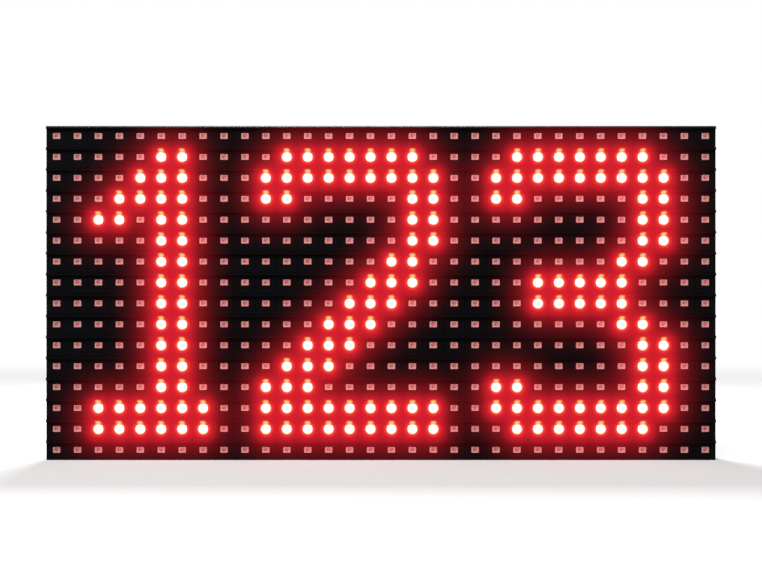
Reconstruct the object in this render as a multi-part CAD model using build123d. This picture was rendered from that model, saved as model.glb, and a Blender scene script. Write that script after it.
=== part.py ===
from build123d import *
import os
from itertools import product

# Dot matrix display module: a black louvred mask, a circuit board with one light-emitting
# package behind each pixel, and a moulded frame that is screwed into a sign from behind.
# X runs right as the viewer sees the lit face, Z runs up, and the lit face looks along -Y.
# The origin is the centre of the rear mounting plane. Lengths are millimetres.

# Pixel matrix
columns = 32
rows = 16
pitch = 10.0
tile_gap = 0.4

# Front mask
mask_rim = 1.2
mask_plate = 1.6
mask_proud = 0.3
pixel_opening_width = 4.3
pixel_opening_height = 3.6
visor_thickness = 0.8
visor_reach = 1.8
visor_above_pixel = 3.5

# Light-emitting packages
led_width = 3.5
led_height = 2.8
led_depth = 1.9

# Circuit board
board_thickness = 1.6
board_clearance = 0.3

# Rear frame
frame_depth = 11.4
frame_inset = 0.5
frame_band = 20.8
frame_rib_width = 9.0
rib_pitches_share = 8
ear_radius = 5.6
ear_web_height = 14.0
pocket_width = 5.2
pocket_depth = 6.0
pocket_edge_distance = 15.3
long_pocket_gap = 16.0
long_pocket_rib_gap = 11.5
short_pocket_rib_gap = 14.0
short_pocket_edge_gap = 17.6
side_pocket_length = 76.0
seal_groove_width = 1.4
seal_groove_depth = 2.0
seal_groove_side_distance = 8.5
seal_groove_top_distance = 6.3

# Sides of the frame's rounds and of the inserts' knurls, kept few so that the model stays light
round_sides = 12
ear_sides = 24

# Wells of the screws that draw the mask against the frame
screw_hole_diameter = 5.2
rib_end_hole_diameter = 6.6
rib_end_hole_distance = 12.8
screw_hole_floor = 2.5
band_hole_pitches_shares = (1, 6, 10, 15)
band_hole_row_pitches_share = 7
side_hole_pitches_shares = (1, 8, 15)
side_hole_row_pitches_share = 2

# Threaded brass inserts
insert_diameter = 6.0
insert_bore_diameter = 2.5
insert_length = 6.0
insert_side_distance = 15.3
insert_top_distance = 29.3

# Box headers for the ribbon cables
header_pins_per_row = 8
header_pin_pitch = 2.54
header_end_margin = 5.08
header_width = 8.85
header_height = 8.9
header_wall = 1.15
header_floor = 2.4
header_key_width = 4.5
header_pin_size = 0.64
header_pin_height = 8.1

# Power header
power_ways = 4
power_pitch = 3.96
power_housing_depth = 6.2
power_housing_height = 8.4
power_wall = 0.9
power_floor = 2.2
power_pin_size = 1.14
power_pin_height = 7.6
power_foot_width = 2.7
power_foot_reach = 4.2
power_foot_thickness = 0.5

# Chips
driver_length = 8.7
driver_width = 3.9
switch_length = 4.9
switch_width = 3.9
buffer_length = 6.5
buffer_width = 4.4
buffer_rib_gap = 0.365
chip_height = 1.5
chip_standoff = 0.1

# Capacitors and small passives
can_diameter = 6.3
can_height = 5.4
can_base_height = 1.1
can_base_side = 6.6
can_base_chamfer = 1.4
passive_length = 1.6
passive_width = 0.8
passive_height = 0.5
passive_gap = 2.0
passive_spacing = 2.4

# Places on the board as shares of its half width and half height, X then Z
driver_column_shares = (0.739, 0.158, -0.253, -0.726)
driver_row_shares = (0.511, -0.511)
switch_column_share = -0.141
switch_row_shares = (0.393, 0.138, -0.117, -0.373)
buffer_row_share = 0.003
can_shares = ((0.151, -0.008), (-0.581, 0.0))
header_column_shares = (0.739, -0.777)
power_share = (-0.253, 0.045)

# Outlines worked out from the sizes above
mask_width = columns * pitch - tile_gap
mask_height = rows * pitch - tile_gap
board_width = mask_width - 2 * (mask_rim + board_clearance)
board_height = mask_height - 2 * (mask_rim + board_clearance)
frame_width = mask_width - 2 * frame_inset
frame_height = mask_height - 2 * frame_inset
rib_x = rib_pitches_share * pitch
band_hole_z = band_hole_row_pitches_share * pitch
side_hole_z = side_hole_row_pitches_share * pitch
rib_end_hole_z = frame_height / 2 - rib_end_hole_distance

# Layers along Y, from the mounting plane towards the viewer
board_back_y = -frame_depth
board_front_y = board_back_y - board_thickness
led_front_y = board_front_y - led_depth
mask_front_y = led_front_y - mask_proud
mask_back_y = mask_front_y + mask_plate
visor_front_y = mask_front_y - visor_reach


def slab(width, height, y_start, y_end, x=0, z=0):
    """A block that fills y_start to y_end, with its face centred on (x, z)."""
    return Pos(x, (y_start + y_end) / 2, z) * Box(width, abs(y_end - y_start), height)


def pixel_centres(count):
    """Places of a line of pixels, spread evenly about zero."""
    return [(index - (count - 1) / 2) * pitch for index in range(count)]


def on_board(place_share):
    """A place on the board from its shares of the half width and half height."""
    x_share, z_share = place_share
    return x_share * board_width / 2, z_share * board_height / 2


def front_mask():
    """Moulded mask: a rim round the board, a plate open along each pixel row, and visors."""
    shell = slab(mask_width, mask_height, board_back_y, mask_front_y)
    inside_width = mask_width - 2 * mask_rim
    inside_height = mask_height - 2 * mask_rim
    shell -= slab(inside_width, inside_height, board_back_y, mask_back_y)
    opening_length = (columns - 1) * pitch + pixel_opening_width
    for z in pixel_centres(rows):
        shell -= slab(opening_length, pixel_opening_height, mask_back_y, mask_front_y, z=z)
        visor_z = z + visor_above_pixel
        shell += slab(mask_width, visor_thickness, mask_front_y, visor_front_y, z=visor_z)
    return shell


def led_row(z):
    """One row of surface-mounted packages, seated on the front of the board."""
    package = slab(led_width, led_height, board_front_y, led_front_y, z=z)
    return [Pos(x, 0, 0) * package for x in pixel_centres(columns)]


def circuit_board():
    """Plain rigid board, held between the mask and the frame."""
    return slab(board_width, board_height, board_back_y, board_front_y)


def frame_outline():
    """Frame seen from behind: an outer band, three ribs, and ears beside the middle rib."""
    outline = Rectangle(frame_width, frame_height)
    opening_height = frame_height - 2 * frame_band
    inner_edge = frame_width / 2 - frame_band
    rib_half = frame_rib_width / 2
    for side in (-1, 1):
        for near, far in ((rib_half, rib_x - rib_half), (rib_x + rib_half, inner_edge)):
            centre = side * (near + far) / 2
            outline -= Pos(centre, 0) * Rectangle(far - near, opening_height)
    ear = RegularPolygon(ear_radius, ear_sides)
    for z in (-side_hole_z, side_hole_z):
        ears = Pos(-pitch, z) * ear + Pos(pitch, z) * ear
        ears += Pos(0, z) * Rectangle(frame_rib_width, ear_web_height)
        outline += make_hull(ears.edges())
    return outline


def screw_holes():
    """Openings of the screw wells: places between pixels, and larger ones at the rib ends."""
    round_hole = RegularPolygon(screw_hole_diameter / 2, round_sides)
    rib_end_hole = RegularPolygon(rib_end_hole_diameter / 2, round_sides)
    holes = Sketch()
    for side_x, side_z in product((-1, 1), (-1, 1)):
        for share in band_hole_pitches_shares:
            holes += Pos(side_x * share * pitch, side_z * band_hole_z) * round_hole
        for share in side_hole_pitches_shares:
            holes += Pos(side_x * share * pitch, side_z * side_hole_z) * round_hole
        holes += Pos(side_x * rib_x, side_z * rib_end_hole_z) * rib_end_hole
    for side_z in (-1, 1):
        holes += Pos(0, side_z * rib_end_hole_z) * rib_end_hole
    return holes


def round_ended(length):
    """Outline of a pocket of this overall length, with a rounded end each way."""
    round_end = RegularPolygon(pocket_width / 2, round_sides)
    end_x = (length - pocket_width) / 2
    outline = Rectangle(length - pocket_width, pocket_width)
    return outline + Pos(-end_x, 0) * round_end + Pos(end_x, 0) * round_end


def relief_pockets():
    """Round-ended pockets that thin the outer band."""
    pocket_z = frame_height / 2 - pocket_edge_distance
    pocket_x = frame_width / 2 - pocket_edge_distance
    long_pocket = (long_pocket_gap, rib_x - long_pocket_rib_gap)
    short_pocket = (rib_x + short_pocket_rib_gap, frame_width / 2 - short_pocket_edge_gap)
    pockets = Sketch()
    for side_x, side_z, (near, far) in product((-1, 1), (-1, 1), (long_pocket, short_pocket)):
        pockets += Pos(side_x * (near + far) / 2, side_z * pocket_z) * round_ended(far - near)
    for side_x in (-1, 1):
        pockets += Pos(side_x * pocket_x, 0) * Rot(0, 0, 90) * round_ended(side_pocket_length)
    return pockets


def seal_groove():
    """Groove that runs round the rear face, for a sealing cord in wet places."""
    middle_width = frame_width - 2 * seal_groove_side_distance
    middle_height = frame_height - 2 * seal_groove_top_distance
    outer = Rectangle(middle_width + seal_groove_width, middle_height + seal_groove_width)
    return outer - Rectangle(middle_width - seal_groove_width, middle_height - seal_groove_width)


def insert_places():
    """Centres of the four threaded inserts on the mounting plane."""
    insert_x = frame_width / 2 - insert_side_distance
    insert_z = frame_height / 2 - insert_top_distance
    return [(side_x * insert_x, side_z * insert_z) for side_x, side_z in product((-1, 1), (-1, 1))]


def rear_frame():
    """Moulded frame. Plane.XZ looks out of the lit side, so a positive depth goes to the board."""
    frame = extrude(Plane.XZ * frame_outline(), frame_depth)
    frame -= extrude(Plane.XZ * relief_pockets(), pocket_depth)
    frame -= extrude(Plane.XZ * seal_groove(), seal_groove_depth)
    frame -= extrude(Plane.XZ * screw_holes(), frame_depth - screw_hole_floor)
    for x, z in insert_places():
        seat = Pos(x, z) * RegularPolygon(insert_diameter / 2, round_sides)
        frame -= extrude(Plane.XZ * seat, insert_length)
    return frame


def mounting_insert(x, z):
    """Knurled brass insert moulded into the frame, flush with the mounting plane."""
    ring = RegularPolygon(insert_diameter / 2, round_sides) - Circle(insert_bore_diameter / 2)
    return extrude(Plane.XZ * Pos(x, z) * ring, insert_length)


header_row_length = (header_pins_per_row - 1) * header_pin_pitch
header_length = header_row_length + 2 * header_end_margin
header_floor_y = board_back_y + header_floor
header_rim_y = board_back_y + header_height


def data_header(column_share, key_side):
    """Shrouded header for a ribbon cable, with a key slot in the wall that faces key_side."""
    x, z = on_board((column_share, 0))
    inside_width = header_width - 2 * header_wall
    inside_length = header_length - 2 * header_wall
    shroud = slab(header_width, header_length, board_back_y, header_rim_y, x, z)
    shroud -= slab(inside_width, inside_length, header_floor_y, header_rim_y, x, z)
    key_x = x + key_side * (header_width - header_wall) / 2
    return shroud - slab(header_wall, header_key_width, header_floor_y, header_rim_y, key_x, z)


def header_pins(column_share):
    """Two rows of square pins that stand on the header's floor."""
    x, z = on_board((column_share, 0))
    tip_y = board_back_y + header_pin_height
    pin = slab(header_pin_size, header_pin_size, header_floor_y, tip_y, x, z)
    pin_z = [(n - (header_pins_per_row - 1) / 2) * header_pin_pitch for n in range(header_pins_per_row)]
    return [
        Pos(side * header_pin_pitch / 2, 0, offset) * pin
        for side, offset in product((-1, 1), pin_z)
    ]


power_way_offsets = [(n - (power_ways - 1) / 2) * power_pitch for n in range(power_ways)]
power_floor_y = board_back_y + power_floor


def power_housing():
    """Open-topped housing round the supply pins."""
    x, z = on_board(power_share)
    length = power_ways * power_pitch
    rim_y = board_back_y + power_housing_height
    housing = slab(length, power_housing_depth, board_back_y, rim_y, x, z)
    inside_length = length - 2 * power_wall
    inside_depth = power_housing_depth - 2 * power_wall
    return housing - slab(inside_length, inside_depth, power_floor_y, rim_y, x, z)


def power_pins():
    """Square supply pins that stand on the housing's floor."""
    x, z = on_board(power_share)
    tip_y = board_back_y + power_pin_height
    pin = slab(power_pin_size, power_pin_size, power_floor_y, tip_y, x, z)
    return [Pos(offset, 0, 0) * pin for offset in power_way_offsets]


def power_feet():
    """Solder feet of the supply pins, laid on the board below the housing."""
    x, z = on_board(power_share)
    foot_z = z - (power_housing_depth + power_foot_reach) / 2
    top_y = board_back_y + power_foot_thickness
    return [
        slab(power_foot_width, power_foot_reach, board_back_y, top_y, x + offset, foot_z)
        for offset in power_way_offsets
    ]


def chip(length, width, place, upright=False):
    """Moulded chip body, a hair above the board. Upright turns its length to Z."""
    x, z = place
    across, along = (width, length) if upright else (length, width)
    bottom_y = board_back_y + chip_standoff
    return slab(across, along, bottom_y, bottom_y + chip_height, x, z)


def buffer_place():
    """Place of the buffer: on the middle line, close beside the right-hand rib."""
    _, z = on_board((0, buffer_row_share))
    return rib_x + frame_rib_width / 2 + buffer_rib_gap + buffer_width / 2, z


def can_base(place):
    """Square plinth of an electrolytic capacitor, with two corners cut to show its poles."""
    x, z = place
    plinth = slab(can_base_side, can_base_side, board_back_y, board_back_y + can_base_height, x, z)
    cut_corners = plinth.edges().filter_by(Axis.Y).sort_by(Axis.Z)[-2:]
    return chamfer(cut_corners, can_base_chamfer)


def can(place):
    """Aluminium can of the capacitor, standing on its plinth."""
    x, z = place
    body = extrude(Plane.XZ * Circle(can_diameter / 2), can_height - can_base_height)
    return Pos(x, board_back_y + can_height, z) * body


def passives(offset_z):
    """One small ceramic part to the left of each driver as seen from the front."""
    parts = []
    for column_share, row_share in product(driver_column_shares, driver_row_shares):
        x, z = on_board((column_share, row_share))
        part_x = x - driver_length / 2 - passive_gap
        top_y = board_back_y + passive_height
        parts.append(slab(passive_length, passive_width, board_back_y, top_y, part_x, z + offset_z))
    return parts


# One entry per piece: its node name and its solids
pieces = {
    "front_mask": [front_mask()],
    "circuit_board": [circuit_board()],
    "rear_frame": [rear_frame()],
    "power_housing": [power_housing()],
    "power_pins": power_pins(),
    "power_feet": power_feet(),
    "chip_capacitors": passives(passive_spacing / 2),
    "chip_resistors": passives(-passive_spacing / 2),
    "buffer_chip": [chip(buffer_length, buffer_width, buffer_place(), upright=True)],
}
for number, z in enumerate(reversed(pixel_centres(rows)), 1):
    pieces[f"led_row_{number:02d}"] = led_row(z)
for number, place in enumerate(insert_places(), 1):
    pieces[f"mounting_insert_{number}"] = [mounting_insert(*place)]
for name, column_share, key_side in zip(("in", "out"), header_column_shares, (-1, 1)):
    pieces[f"data_header_{name}"] = [data_header(column_share, key_side)]
    pieces[f"data_pins_{name}"] = header_pins(column_share)
for number, place_share in enumerate(product(driver_column_shares, driver_row_shares), 1):
    pieces[f"driver_chip_{number}"] = [chip(driver_length, driver_width, on_board(place_share))]
for number, row_share in enumerate(switch_row_shares, 1):
    place = on_board((switch_column_share, row_share))
    pieces[f"row_switch_{number}"] = [chip(switch_length, switch_width, place)]
for number, place_share in enumerate(can_shares, 1):
    pieces[f"capacitor_base_{number}"] = [can_base(on_board(place_share))]
    pieces[f"capacitor_can_{number}"] = [can(on_board(place_share))]

os.makedirs("parts", exist_ok=True)
for name, solids in pieces.items():
    shape = solids[0] if len(solids) == 1 else Compound(children=solids)
    export_step(shape, f"parts/{name}.step")
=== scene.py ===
import math
import bmesh
import bpy
import numpy as np
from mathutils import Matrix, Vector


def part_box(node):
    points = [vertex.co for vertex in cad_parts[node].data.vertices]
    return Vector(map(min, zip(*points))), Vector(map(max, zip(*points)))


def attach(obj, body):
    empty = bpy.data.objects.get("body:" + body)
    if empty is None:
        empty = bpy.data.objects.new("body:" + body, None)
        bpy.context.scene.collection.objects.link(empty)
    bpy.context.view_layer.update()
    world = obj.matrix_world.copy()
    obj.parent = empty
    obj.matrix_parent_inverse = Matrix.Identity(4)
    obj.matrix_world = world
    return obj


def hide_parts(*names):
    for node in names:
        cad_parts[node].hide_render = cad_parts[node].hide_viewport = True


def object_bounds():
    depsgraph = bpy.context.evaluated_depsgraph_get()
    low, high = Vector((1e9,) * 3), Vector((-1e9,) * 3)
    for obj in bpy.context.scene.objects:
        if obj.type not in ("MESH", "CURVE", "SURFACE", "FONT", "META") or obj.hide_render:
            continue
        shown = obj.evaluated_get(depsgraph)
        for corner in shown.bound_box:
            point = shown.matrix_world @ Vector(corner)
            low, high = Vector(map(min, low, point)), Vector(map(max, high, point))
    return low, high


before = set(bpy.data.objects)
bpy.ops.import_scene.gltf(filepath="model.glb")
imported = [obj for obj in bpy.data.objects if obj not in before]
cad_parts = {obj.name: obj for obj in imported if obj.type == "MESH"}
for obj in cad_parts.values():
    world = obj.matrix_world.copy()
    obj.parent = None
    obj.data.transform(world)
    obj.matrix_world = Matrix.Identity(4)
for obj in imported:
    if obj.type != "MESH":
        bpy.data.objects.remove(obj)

cad_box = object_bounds()

# Camera. The lit face is seen square on, as the photograph shows it: level with the middle of
# the panel, through a long lens that keeps its rows and columns parallel.
mm = 0.001
face_low, face_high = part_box("front_mask")
face_middle = (face_low + face_high) / 2
camera_lens = 85
camera_sensor = 36
face_share_of_frame = 0.88
camera_distance = (face_high.x - face_low.x) / face_share_of_frame * camera_lens / camera_sensor

camera_data = bpy.data.cameras.new("panel_camera")
camera_data.lens = camera_lens
camera_data.sensor_width = camera_sensor
camera = bpy.data.objects.new("panel_camera", camera_data)
camera.location = (face_middle.x, face_low.y - camera_distance, face_middle.z)
camera.rotation_euler = (math.radians(90), 0, 0)
bpy.context.scene.collection.objects.link(camera)
bpy.context.scene.camera = camera
bpy.context.scene.view_settings.view_transform = "Standard"

# Stage. A pale matt floor that fades out into a white surround, so that no horizon shows. The
# panel stands on it on its long edge, and its shadow stays.
floor_radius = 1.3
floor_sides = 96
floor_z = cad_box[0].z
floor_colour = (0.92, 0.92, 0.92, 1)
floor_bounce = (0.12, 0.12, 0.12, 1)
floor_clearness = 0.25
fade_start = 0.35
fade_end = 0.97
surround_light = 0.10
white = (1, 1, 1, 1)


class Finish:
    """Node tree of a material, of the surround, or of an effect that several materials share."""

    def __init__(self, tree):
        self.tree = tree
        tree.nodes.clear()

    def add(self, kind, inputs=None, **settings):
        """A node with its settings. Each input is set, or linked where it is another's output."""
        node = self.tree.nodes.new(f"ShaderNode{kind}")
        for name, value in settings.items():
            setattr(node, name, value)
        for socket, value in (inputs or {}).items():
            if isinstance(value, bpy.types.NodeSocket):
                self.tree.links.new(value, node.inputs[socket])
            else:
                node.inputs[socket].default_value = value
        return node

    def math(self, operation, *values):
        """Result of a sum on numbers or outputs."""
        return self.add("Math", dict(enumerate(values)), operation=operation).outputs["Value"]

    def step(self, value, ends):
        """Smooth step from 0 at the first end to 1 at the second."""
        inputs = {"Value": value, "From Min": ends[0], "From Max": ends[1]}
        return self.add("MapRange", inputs, interpolation_type="SMOOTHSTEP").outputs["Result"]

    def mix(self, share, first, second, blend="MIX"):
        """Mix of two colours by a share of the second."""
        inputs = {0: share, 6: first, 7: second}
        return self.add("Mix", inputs, data_type="RGBA", blend_type=blend).outputs[2]


def new_finish(name):
    """An empty material and its node tree."""
    material = bpy.data.materials.new(name)
    material.use_nodes = True
    return material, Finish(material.node_tree)


def floor_material():
    """Matt pale floor whose rim is see-through, and which throws little light back at the panel."""
    material, finish = new_finish("pale_floor")
    path = finish.add("LightPath")
    shade = finish.mix(path.outputs["Is Diffuse Ray"], floor_colour, floor_bounce)
    matt = finish.add("BsdfDiffuse", {"Color": shade})
    clear = finish.add("BsdfTransparent")
    place = finish.add("TexCoord")
    reach = finish.add("VectorMath", {0: place.outputs["Object"]}, operation="LENGTH")
    fade = finish.add("MapRange", {
        "Value": reach.outputs["Value"],
        "From Min": floor_radius * fade_start,
        "From Max": floor_radius * fade_end,
        "To Min": floor_clearness,
    }, interpolation_type="SMOOTHSTEP")
    blend = finish.add("MixShader", {
        "Fac": fade.outputs["Result"], 1: matt.outputs["BSDF"], 2: clear.outputs["BSDF"],
    })
    finish.add("OutputMaterial", {"Surface": blend.outputs["Shader"]})
    return material


floor_mesh = bpy.data.meshes.new("floor")
floor_angles = [2 * math.pi * step / floor_sides for step in range(floor_sides)]
floor_rim = [(floor_radius * math.cos(a), floor_radius * math.sin(a), 0) for a in floor_angles]
floor_mesh.from_pydata(floor_rim, [], [tuple(range(floor_sides))])
floor = bpy.data.objects.new("floor", floor_mesh)
floor.location = (0, 0, floor_z)
floor_mesh.materials.append(floor_material())
bpy.context.scene.collection.objects.link(floor)


def white_surround():
    """World that lights softly, and shows plain white to the camera and in reflections."""
    world = bpy.data.worlds.new("white_surround")
    world.use_nodes = True
    finish = Finish(world.node_tree)
    path = finish.add("LightPath")
    seen = finish.math("MAXIMUM", path.outputs["Is Camera Ray"], path.outputs["Is Glossy Ray"])
    shown = finish.math("MAXIMUM", seen, path.outputs["Is Transmission Ray"])
    soft = finish.add("Background", {"Color": white, "Strength": surround_light})
    plain = finish.add("Background", {"Color": white, "Strength": 1.0})
    blend = finish.add("MixShader", {
        "Fac": shown, 1: soft.outputs["Background"], 2: plain.outputs["Background"],
    })
    finish.add("OutputWorld", {"Surface": blend.outputs["Shader"]})
    return world


bpy.context.scene.world = white_surround()

# Lamps. Two broad soft boxes stand high in front and two behind, so that the louvres and the edges
# of the frame cast soft shadows downwards. A small far one behind only glints on glossy surfaces.
# Each has its place, its size in metres and its power in watts.
lamps = {
    "front_key": ((-0.55, -1.05, 1.05), 0.9, 21),
    "front_fill": ((0.95, -1.10, 0.35), 1.1, 5),
    "rear_key": ((-0.05, 0.50, 0.60), 0.25, 8.0),
    "rear_glint": ((-0.04, 1.50, 0.60), 0.28, 15),
    "rear_fill": ((0.95, 1.10, 0.30), 1.1, 1.2),
}


def soft_box(name, place, size, power):
    """Square area lamp aimed at the middle of the panel."""
    lamp = bpy.data.lights.new(name, "AREA")
    lamp.size = size
    lamp.energy = power
    box = bpy.data.objects.new(name, lamp)
    box.location = place
    box.rotation_euler = (face_middle - box.location).to_track_quat("-Z", "Y").to_euler()
    bpy.context.scene.collection.objects.link(box)


for lamp_name, (lamp_place, lamp_size, lamp_power) in lamps.items():
    soft_box(lamp_name, lamp_place, lamp_size, lamp_power)
bpy.data.objects["rear_glint"].visible_diffuse = False

# Lit pixels. The controller drives the pixels to show plain numbers, two pixels to a stroke and
# fourteen rows tall. What is lit sets the glow painted on the packages, on the mask round them and on the
# board.
pixel_columns = 32
pixel_rows = 16
pixel_pitch = 10 * mm
digit_shapes = (
    ("...##.", "..###.", ".####.", "##.##.", "...##.", "...##.", "...##.",
     "...##.", "...##.", "...##.", "...##.", "...##.", "######", "######"),
    (".#######.", "#########", "##.....##", ".......##", ".......##", "......##.", ".....###.",
     "....###..", "...###...", "..###....", ".###.....", "###......", "#########", "#########"),
    (".#######.", "#########", "##.....##", ".......##", ".......##", "......##.", "..#####..",
     "..#####..", "......##.", ".......##", ".......##", "##.....##", "#########", ".#######."),
)
first_lit_column = 2
first_lit_row = 1
digit_gap = 2


def pixel_place(column, row):
    """Middle of a pixel on the face. Row 0 is the top one."""
    x = (column - (pixel_columns - 1) / 2) * pixel_pitch
    z = ((pixel_rows - 1) / 2 - row) * pixel_pitch
    return x, z


lit_pixels = set()
digit_start = first_lit_column
for shape in digit_shapes:
    for row_offset, dots in enumerate(shape):
        for column_offset, dot in enumerate(dots):
            if dot == "#":
                lit_pixels.add((digit_start + column_offset, first_lit_row + row_offset))
    digit_start += len(shape[0]) + digit_gap
lit_places = np.array([pixel_place(*pixel) for pixel in sorted(lit_pixels)])

# Reach and strength of the painted red spill round lit pixels, and of the painted red haze on the packages.
spill_near = 4.1 * mm
spill_near_share = 3.8
spill_far = 11 * mm
spill_far_share = 0.26
haze_reach = 20 * mm
haze_fill = 6
haze_share = 0.36


def reach_to_lit(x, z):
    """Distance of each point of the face from each lit pixel."""
    points = np.stack((np.asarray(x), np.asarray(z)), axis=-1)
    return np.linalg.norm(points[:, None, :] - lit_places[None, :, :], axis=2)


def painted_spill(x, z):
    """How much painted light points of the face get from every lit pixel together."""
    reach = reach_to_lit(x, z)
    near = np.exp(-((reach / spill_near) ** 2)).sum(axis=1)
    far = np.exp(-((reach / spill_far) ** 2)).sum(axis=1)
    return 1 - np.exp(-near * spill_near_share - far * spill_far_share)


def painted_package_haze(x, z):
    """The wide red haze painted on the pale packages, for the light of the pixels lit farther off."""
    reach = reach_to_lit(x, z)
    return haze_share * (1 - np.exp(-np.exp(-reach / haze_reach).sum(axis=1) / haze_fill))


def pixel_attributes(piece, spill, lit):
    """Stores the painted spill on each point of a piece, and on each face whether its own pixel is lit."""
    layer = piece.data.attributes.new("painted_spill", "FLOAT", "POINT")
    layer.data.foreach_set("value", np.asarray(spill, dtype=np.float32))
    layer = piece.data.attributes.new("pixel_lit", "FLOAT", "FACE")
    layer.data.foreach_set("value", np.asarray(lit, dtype=np.float32))


def faces_lit(piece):
    """1 for each face that lies in the square of a lit pixel, else 0."""
    lit = []
    for face in piece.data.polygons:
        column = int((face.center.x + pixel_columns * pixel_pitch / 2) // pixel_pitch)
        row = int((pixel_rows * pixel_pitch / 2 - face.center.z) // pixel_pitch)
        lit.append(float((column, row) in lit_pixels))
    return lit


# A lit pixel's painted glow from its middle out: a white core, an orange rim and red spill, with a
# small amber cap above, a painted highlight where its louvre catches the light. Each edge runs from nothing
# to full.
core_colour = (1.35, 1.15, 0.95, 1)
core_edge = (2.7 * mm, 1.9 * mm)
painted_rim_colour = (1.0, 0.055, 0.030, 1)
rim_edge = (4.3 * mm, 2.3 * mm)
painted_spill_colour = (0.76, 0.013, 0.026, 1)
no_light = (0, 0, 0, 1)
painted_highlight_colour = (1.1, 0.66, 0.22, 1)
cap_sides = (1.8 * mm, 0.3 * mm)
cap_foot = (2.1 * mm, 2.9 * mm)
cap_top = (4.4 * mm, 3.1 * mm)


def painted_glow_effect():
    """Painted colour of a lit pixel's light by the distance from its middle, with the painted spill round
    it.
    """
    group = bpy.data.node_groups.new("painted_pixel_glow", "ShaderNodeTree")
    group.interface.new_socket("Color", in_out="OUTPUT", socket_type="NodeSocketColor")
    effect = Finish(group)
    place = effect.add("TexCoord")
    cell = effect.add("VectorMath", {
        0: place.outputs["Object"], 1: (pixel_pitch, 1, pixel_pitch), 2: (0, -1, 0),
    }, operation="WRAP")
    axes = effect.add("SeparateXYZ", {"Vector": cell.outputs["Vector"]})
    x = effect.math("SUBTRACT", axes.outputs["X"], pixel_pitch / 2)
    z = effect.math("SUBTRACT", axes.outputs["Z"], pixel_pitch / 2)
    squares = effect.math("ADD", effect.math("MULTIPLY", x, x), effect.math("MULTIPLY", z, z))
    reach = effect.math("SQRT", squares)
    spill = effect.add("Attribute", attribute_name="painted_spill").outputs["Fac"]
    lit = effect.add("Attribute", attribute_name="pixel_lit").outputs["Fac"]
    rim = effect.math("MULTIPLY", effect.step(reach, rim_edge), lit)
    core = effect.math("MULTIPLY", effect.step(reach, core_edge), lit)
    width = effect.step(effect.math("ABSOLUTE", x), cap_sides)
    height = effect.math("MULTIPLY", effect.step(z, cap_foot), effect.step(z, cap_top))
    cap = effect.math("MULTIPLY", effect.math("MULTIPLY", width, height), lit)
    glow = effect.mix(spill, no_light, painted_spill_colour)
    for share, colour in ((rim, painted_rim_colour), (core, core_colour), (cap, painted_highlight_colour)):
        glow = effect.mix(share, glow, colour)
    output = group.nodes.new("NodeGroupOutput")
    group.links.new(glow, output.inputs["Color"])
    return group


painted_pixel_glow = painted_glow_effect()


def painted_glow_inputs(finish):
    """The inputs that paint the pixels' light on a shader as its emission."""
    glow = finish.add("Group", node_tree=painted_pixel_glow)
    return {"Emission Color": glow.outputs["Color"], "Emission Strength": 1.0}


# Front mask. One moulding of matt black plastic: a plate with a window at each pixel, a louvre
# over each row that keeps the sun off, seams where the mould's cores met, and a rim round it.
window_half_width = 1.92 * mm
window_half_height = 1.6 * mm
window_draft = 0.12 * mm
seam_half_width = 0.13 * mm
seam_depth = 0.15 * mm
louvre_middle = 3.75 * mm
louvre_half = 0.40 * mm
louvre_nose = 0.12 * mm
mask_plate_depth = 1.6 * mm
louvre_reach = 1.8 * mm
mask_rim = 1.2 * mm
plain_border = 0.1 * mm
mesh_slack = 0.01 * mm
mask_back_y = face_high.y
louvre_front_y = face_low.y
plate_front_y = louvre_front_y + louvre_reach
plate_back_y = plate_front_y + mask_plate_depth


def mask_lines():
    """Lines of the mask's grid along X and Z, each set repeated at every pixel."""
    half = pixel_pitch / 2
    louvre_low, louvre_high = louvre_middle - louvre_half, louvre_middle + louvre_half
    across = (
        -half, -half + seam_half_width, -0.72 * half, -window_half_width - window_draft,
        -window_half_width, window_half_width, window_half_width + window_draft,
        0.72 * half, half - seam_half_width,
    )
    up = (
        -half, -0.76 * half, -window_half_height - window_draft, -window_half_height,
        window_half_height, window_half_height + window_draft, louvre_low - window_draft,
        louvre_low, louvre_low + louvre_nose, louvre_high - louvre_nose, louvre_high,
    )
    columns_x = [pixel_place(column, 0)[0] for column in range(pixel_columns)]
    rows_z = [pixel_place(0, row)[1] for row in range(pixel_rows)]
    limit_x, limit_z = face_high.x - plain_border, face_high.z - plain_border
    xs = sorted(x + offset for x in columns_x for offset in across if abs(x + offset) < limit_x)
    zs = sorted(z + offset for z in rows_z for offset in up if abs(z + offset) < limit_z)
    return np.array([face_low.x] + xs + [face_high.x]), np.array([face_low.z] + zs + [face_high.z])


def nearest_offset(places, count):
    """Distance from each place to the middle of its own pixel, along one line of pixels."""
    index = np.clip(np.round(places / pixel_pitch + (count - 1) / 2), 0, count - 1)
    return places - (index - (count - 1) / 2) * pixel_pitch


def mask_surface(xs, zs):
    """Depth of every crossing of the grid's lines, and which crossings are corners of windows."""
    dx = nearest_offset(xs, pixel_columns)[None, :]
    dz = nearest_offset(zs, pixel_rows)[:, None]
    depth = np.full((len(zs), len(xs)), plate_front_y)
    seam = np.abs(np.abs(dx) - pixel_pitch / 2) < mesh_slack
    depth = np.where(seam & (np.abs(xs)[None, :] < face_high.x - mm), depth + seam_depth, depth)
    louvre = np.abs(dz - louvre_middle) < louvre_half + mesh_slack
    nose = np.abs(dz - louvre_middle) < louvre_half - louvre_nose + mesh_slack
    depth = np.where(louvre, louvre_front_y + louvre_nose, depth)
    depth = np.where(louvre & nose, louvre_front_y, depth)
    wide = np.abs(dx) < window_half_width + mesh_slack
    window = wide & (np.abs(dz) < window_half_height + mesh_slack)
    return np.where(window, plate_back_y, depth), window


def window_lines(lines, count, half):
    """Numbers of the grid's lines that run along the edges of windows."""
    offsets = [abs(abs(nearest_offset(line, count)) - half) for line in lines]
    return [k for k, offset in enumerate(offsets) if offset < 0.001 * mm]


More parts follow.
